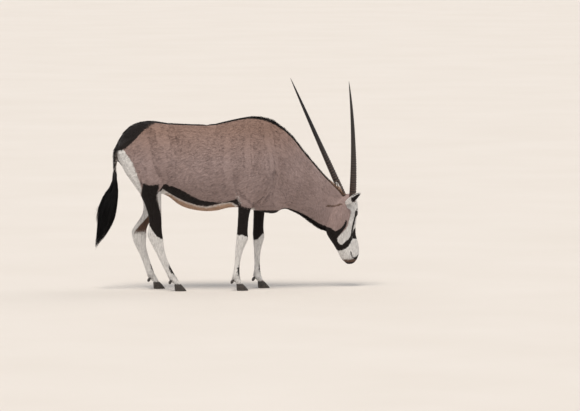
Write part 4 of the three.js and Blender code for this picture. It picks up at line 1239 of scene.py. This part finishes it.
# name and thickness, then what brush_lines takes: count, locks, spread, heights of roots and of tips, side
for name, thick, *wanted in (
    ("tail_brush_core", 4.4, 1800, 240, 0.84, (690, 800), (300, 450)),
    ("tail_brush_outer", 3.4, 1500, 90, 1.02, (640, 780), (320, 560)),
    ("tail_brush_strays", 2.4, 160, 22, 1.1, (600, 740), (400, 600), 26),
    ("tail_brush_wisps", 2.4, 84, 6, 0.7, (640, 740), (470, 600), 84),
):
    lines, bearing, start = brush_lines(*wanted)
    count = len(lines)
    facing_out = np.stack([np.cos(bearing), np.sin(bearing), 0 * bearing], 1)
    run = unit(np.gradient(lines, axis=1))
    ridges = np.repeat(facing_out[:, None], BRUSH_STEPS, 1)
    taper = np.sin(np.pi * (0.14 + 0.86 * np.linspace(0, 1, BRUSH_STEPS)) ** 0.7)
    widths = thick * draw.uniform(0.6, 1.2, (count, 1)) * taper
    place = np.stack([0.05 + 0.9 * bearing / (2 * np.pi), 0.05 + 0.9 * (start - 600) / 300], 1)
    marks = np.tile([FAR / 2, -FAR, -FAR, -FAR], (count, 1))
    brush = hair_piece(name, lines, unit(np.cross(run, ridges)), ridges, widths, marks, long_hair, 0.4, place)
    if name == "tail_brush_core":
        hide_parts("tail_tuft")

# Eyes: a wet ball with a clear bulge over a dark brown iris and a long level pupil, set into the flesh between
# the lids. Each is one sphere raised over the iris, and its rings of colour follow the distance from its pole.
EYE_BULGE = 1.4
EYE_SUNK = 0.4
IRIS = 10.5

# Cornea and tear film: IOR 1.376, roughness 0.03, over an iris that is almost black
eye_finish, tree = new_material("wet_eye")
inward = add_node(tree, "Attribute", attribute_name="iris").outputs["Fac"]
ends = [(0, "#030202"), (1, "#4A3A33")]
between = [(0.42, "#040302"), (0.5, "#1E110A"), (0.86, "#120A06"), (0.93, "#2A201C")]
tint = add_node(tree, "ValToRGB", links={"Fac": inward}, stops=ends + between).outputs[0]
wet = {"Roughness": 0.12, "IOR": 1.376, "Coat Weight": 1.0, "Coat Roughness": 0.03, "Coat IOR": 1.376}
surface(tree, wet, {"Base Color": tint})


def eyeball(side):
    """A sphere whose pole looks out, raised near the pole by EYE_BULGE * exp(-(angle / 0.45)^2). The iris value
    is the distance from the pole over IRIS, with the pupil drawn out level to twice its height."""
    polar = np.linspace(0, np.pi, 48)[:, None]
    radius = EYE_RADIUS - EYE_SUNK + EYE_BULGE * bell(polar / 0.45)
    sphere = ball(polar, bearings(64)[None]) * radius[..., None]
    placed = EYE_AT * np.array([1, side, 1]) + sphere @ ball_axes(EYE_SLANT, EYE_LOOK, side)
    points, faces = closed(placed[1:-1])
    spread = np.hypot(sphere[..., 0] * 0.8, sphere[..., 2] * 1.25)[1:-1] / IRIS
    iris = np.where(np.cos(polar[1:-1]) > 0, np.minimum(spread, 1), 1)
    return points, faces, np.append(iris.ravel(), [0, 1])


for name, side in (("left", 1), ("right", -1)):
    points, faces, iris = eyeball(side)
    eye = mesh_piece(f"eyeball_{name}", metres(from_head(points)), faces, eye_finish)
    put_values(eye, iris=iris)
    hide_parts(f"eye_{name}")
    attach(eye, "root")

# Horns: long straight keratin spears that bow back a little, ringed over the lower half and smooth above,
# drawn as one tube each whose radius carries the rings.
HORN_ROOT = np.array([26.0, 36.0, -34.0])
HORN_TIP = np.array([-230.0, 321.0, 808.0])
HORN_BOW = np.array([11.0, 15.0, 0.0])
HORN_RADIUS = 23.8
HORN_RINGS = 26
HORN_RINGED = 0.5  # share of the length where the last ring dies out
RING_RISE = 3.4
HORN_STEPS = 560
HORN_SIDES = 40

# Horn sheath: keratin, IOR 1.55 and roughness 0.55 to 0.34, dull in the rings and polished towards the tip, with
# painted shade in the grooves between the rings and a painted highlight on their crests. Fibres run lengthwise,
# drawn about 2 mm apart.
horn_finish, tree = new_material("ringed_horn_keratin")
share = add_node(tree, "Attribute", attribute_name="share").outputs["Fac"]
# ridge: low in each ring's groove and high on its crest, for the rings' painted shade and painted highlight
ridge = add_node(tree, "Attribute", attribute_name="ridge").outputs["Fac"]
spot = add_node(tree, "TexCoord").outputs["Object"]
run = add_node(tree, "Mapping", {"Scale": (420, 420, 16)}, {"Vector": spot}).outputs[0]
fibre = add_node(tree, "TexNoise", {"Scale": 1.0, "Detail": 4}, {"Vector": run}).outputs["Fac"]
ends = [(0, "#5E4032"), (1, "#0F0D0D")]
between = [(0.07, "#46342A"), (0.2, "#392D28"), (0.42, "#2A2321"), (0.6, "#151212")]
tint = add_node(tree, "ValToRGB", links={"Fac": share}, stops=ends + between).outputs[0]
# painted shade and painted highlight of the rings: the colour times 0.08 in the grooves, up to 2 on the crests
ring_shade_and_highlight = shaded(tree, tint, ridge, (0, 1), (0.08, 2.0))
colour = shaded(tree, ring_shade_and_highlight, fibre, (0.3, 0.7), (0.75, 1.2))
relief = add_node(tree, "Bump", {"Strength": 0.35, "Distance": 0.0008}, {"Height": fibre}).outputs[0]
worn = add_node(tree, "MapRange", {"To Min": 0.55, "To Max": 0.34}, {"Value": share}).outputs[0]
surface(tree, {"IOR": 1.55}, {"Base Color": colour, "Normal": relief, "Roughness": worn})


def horn(side):
    """A tube along root + (tip - root) t + bow * 4t(1 - t). Its radius is R (1 - t)^0.6, and the rings raise it
    by a saw that climbs over each ring and drops at its top, most in front and less towards the ringed end."""
    t = np.linspace(0, 1, HORN_STEPS) ** 1.1
    path = HORN_ROOT + (HORN_TIP - HORN_ROOT) * t[:, None] + HORN_BOW * (4 * t * (1 - t))[:, None]
    path = path * np.array([1, side, 1])
    run = unit(np.gradient(path, axis=0))
    front = unit(np.array([1.0, 0, 0]) - run * run[:, :1])
    across = np.cross(run, front)
    turn = bearings(HORN_SIDES)[None]
    phase = (t / HORN_RINGED * HORN_RINGS + 0.12 * np.sin(t * 90))[:, None] + 0.06 * np.cos(turn)
    saw = np.clip(phase % 1 / 0.72, 0, 1) ** 1.3 * step(phase % 1, 1, 0.74)
    fading = (step(t, HORN_RINGED, 0.3) * step(t, 0.03, 0.1))[:, None]
    rise = RING_RISE * fading * (0.55 + 0.45 * np.cos(turn)) * saw
    radius = np.maximum(HORN_RADIUS * (1 - t) ** 0.6, 1.4)[:, None] + rise
    grid = path[:, None] + front[:, None] * (radius * np.cos(turn))[..., None]
    grid = grid + across[:, None] * (radius * 0.94 * np.sin(turn))[..., None]
    # the rings' painted shade and highlight, kept as the ridge value: low in the grooves, high on the crests
    ridge = 0.55 + fading * (saw - 0.55)
    points, faces = closed(grid)
    return points, faces, np.append(np.repeat(t, HORN_SIDES), [0, 1]), np.append(ridge.ravel(), [0.5, 0.5])


for name, side in (("left", 1), ("right", -1)):
    points, faces, share, ridge = horn(side)
    spear = mesh_piece(f"ringed_horn_{name}", metres(from_head(points)), faces, horn_finish)
    put_values(spear, share=share, ridge=ridge)
    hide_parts(f"horn_{name}")
    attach(spear, "root")

# Ears: a rolled stalk that opens into a thin leaf-shaped cup of skin, white with a black wedge before the tip,
# grey at the root and dark inside, edged with soft white hair.
EAR_ROOT = np.array([-38.0, 38.0, -50.0])
EARS = {
    "right": {"side": -1, "tip": [-8, 172, 34], "opens": [0.86, 0.1, -0.5]},
    "left": {"side": 1, "tip": [-30, 68, 98], "opens": [0.62, 0.79, 0.0]},
}
# share of the length, half width, depth of the back and of the hollow
EAR = [
    [0, 17, 15, -12],
    [0.14, 21, 18, -4],
    [0.3, 27, 20, 15],
    [0.5, 31, 19, 16],
    [0.7, 27, 16, 13.4],
    [0.88, 15, 11, 9],
    [1, 3, 4, 2.6],
]
EAR_ROWS = resampled(EAR, 60)
FRINGE = 420  # hairs along the edges of an ear


def ear_axes(ear):
    """Root, the vector to the tip, and the unit ways in which the cup opens and spreads, in the head's frame."""
    mirror = np.array([1, ear["side"], 1])
    root = EAR_ROOT * mirror
    length = np.array(ear["tip"]) * mirror - root
    opens = np.array(ear["opens"]) * mirror
    opens = unit(opens - length * (opens @ length) / (length @ length))
    return root, length, opens, unit(np.cross(opens, length))


def ear_surface(ear):
    """Rings of the cup: from edge to edge over the back, at half * q across and back * sqrt(1 - q^2) behind the
    middle, and then back through the hollow, 0.95 as wide."""
    root, length, opens, across = ear_axes(ear)
    t, half, back, hollow = EAR_ROWS.T
    q = np.cos(np.linspace(0, np.pi, 36))
    outer = half[:, None] * q, -back[:, None] * np.sqrt(1 - q**2)
    inner = half[:, None] * q[-2:0:-1] * 0.95, -hollow[:, None] * np.sqrt(1 - q[-2:0:-1] ** 2)
    spread, depth = (np.concatenate(pair, 1) for pair in zip(outer, inner))
    middle = root + length * t[:, None]
    return middle[:, None] + across * spread[..., None] + opens * depth[..., None]


def ear_marks(points, ear):
    """The four columns of the markings on an ear, from the share t of its length and q across it."""
    root, length, opens, across = ear_axes(ear)
    off = np.stack([*to_head(points)], 1)[:, [1, 2, 0]] * (1, 1, -1) - root
    t = off @ length / (length @ length)
    half, back = (np.interp(t, EAR_ROWS[:, 0], EAR_ROWS[:, k]) for k in (1, 2))
    q = off @ across / half
    inside = off @ opens + back * np.sqrt(np.clip(1 - q**2, 0, 1)) > 1.2
    low = q * -ear["side"]
    wedge = least((low + 0.02 - 0.2 * step(t, 0.4, 0.7)) * 22, (t - 0.5) * 90, (0.985 - t) * 60)
    thin = least(2.2 - np.abs(low + 0.42) * 14, (t - 0.58) * 60, (0.96 - t) * 60)
    cup = least((0.86 - np.abs(q)) * 14, (0.95 - t) * 50, (t - 0.34) * 60)
    dark = np.where(inside, cup, most(wedge, thin))
    pale = (t - 0.1) * 60
    left_back = ~inside & (ear["side"] > 0)
    tan_and_belly_shade = np.where(left_back, least((q + 0.1) * 20, (0.8 - t) * 60), -FAR)
    return np.clip(np.stack([dark, pale, tan_and_belly_shade, -FAR + 0 * t], 1), -FAR, FAR)


for name, ear in EARS.items():
    points, faces = closed(ear_surface(ear))
    cup = mesh_piece(f"cupped_ear_{name}", metres(from_head(points)), faces[:, ::-1], coat_finish)
    put_markings(cup, ear_marks(points_of(cup), ear))
    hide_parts(f"ear_{name}")
    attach(cup, "root")
    root, length, opens, across = ear_axes(ear)
    tip_way = from_head(length[None])[0] - HEAD_AT
    roots, root_normals = scattered(cup, lambda p: 9.0 + 0 * p[:, 0])
    ways = unit(tip_way - root_normals * (root_normals @ tip_way)[:, None])
    count = len(roots)
    ways = swung(ways, root_normals, 0.18)
    long, wide = draw.uniform(5, 9, count), draw.uniform(0.9, 1.4, count)
    strands = laid(roots, root_normals, ways, long, wide, draw.uniform(0.5, 1.3, count), sink=0.4)
    hair_piece(f"ear_coat_{name}", *strands, ear_marks(roots, ear), coat_finish, 0.25)
    # Fringe along both edges of the cup
    t = draw.uniform(0.16, 0.97, FRINGE)
    edge = np.where(draw.random(FRINGE) < 0.5, 1.0, -1.0)
    half = np.interp(t, EAR_ROWS[:, 0], EAR_ROWS[:, 1])
    rim = root + length * t[:, None] + across * (edge * (half - 1.2))[:, None]
    out = from_head(across * edge[:, None]) - HEAD_AT
    rim_ways = unit(tip_way / np.linalg.norm(tip_way) + 0.5 * out + draw.normal(0, 0.16, (FRINGE, 3)))
    facing_rim = unit(np.cross(rim_ways, out))
    long = draw.uniform(6, 12, FRINGE) * (1.1 - 0.5 * t)
    wide = draw.uniform(0.8, 1.3, FRINGE)
    strands = laid(from_head(rim), facing_rim, rim_ways, long, wide, 0 * t + 0.6, sink=0.4)
    marks = np.tile([-FAR, 20, -FAR, -FAR], (FRINGE, 1))
    hair_piece(f"ear_fringe_{name}", *strands, marks, coat_finish, 0.3)

# Hooves: each foot stands on two pointed claws of dark keratin, with growth rings, under a coronet of hair, and
# has two dew claws behind. They are lofted from upright sections.

# height, x from the ankle, reach ahead and behind, half width, fullness ahead and behind
CLAW = [
    [43.6, 22, 21, 23, 15, 2, 2.2],
    [34, 26, 27, 27, 16, 1.9, 2.2],
    [18, 31, 36, 31, 16.6, 1.7, 2.2],
    [4, 34, 43, 33, 16.6, 1.6, 2.2],
    [0, 34, 41, 32, 15.6, 1.6, 2.2],
]
DEW_CLAW = [
    [77, -20, 7, 8, 8, 2, 2],
    [67, -28, 9, 10, 9, 2, 2],
    [56, -33, 9, 9, 9, 2, 2],
    [48, -36, 5, 5, 6, 2, 2],
]
DEW_APART = 14
CLAW_RING = 2.4  # millimetres between growth rings

# Hoof wall: dark grey keratin, IOR 1.54 and roughness 0.5, with fine growth rings and pale scuffs
hoof_finish, tree = new_material("hoof_keratin")
spot = add_node(tree, "TexCoord").outputs["Object"]
high = add_node(tree, "SeparateXYZ", links={"Vector": spot}).outputs["Z"]
wave = add_node(tree, "Math", {1: 2 * np.pi / (CLAW_RING / 1000)}, {0: high}, operation="MULTIPLY").outputs[0]
ringing = add_node(tree, "Math", links={0: wave}, operation="SINE").outputs[0]
mottle = add_node(tree, "TexNoise", {"Scale": 140, "Detail": 4}, {"Vector": spot}).outputs["Fac"]
scuffs = [(0.35, "#26211F"), (0.75, "#5A524C")]
tint = add_node(tree, "ValToRGB", links={"Fac": mottle}, stops=scuffs).outputs[0]
relief = add_node(tree, "Bump", {"Strength": 0.3, "Distance": 0.0004}, {"Height": ringing}).outputs[0]
surface(tree, {"Roughness": 0.5, "IOR": 1.54}, {"Base Color": tint, "Normal": relief})

for leg in LEGS:
    for place, way in (("inner", -leg["side"]), ("outer", leg["side"])):
        for kind, table, apart in (("hoof", CLAW, TOE_APART), ("dew_claw", DEW_CLAW, DEW_APART)):
            points, faces = closed(column(foot_rows(table, leg, way * apart, 26), 40, 0))
            horny = mesh_piece(f"{leg['name']}_{place}_{kind}", metres(points), faces, hoof_finish)
            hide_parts(f"{leg['name']}_{kind}_{place}")
            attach(horny, "root")
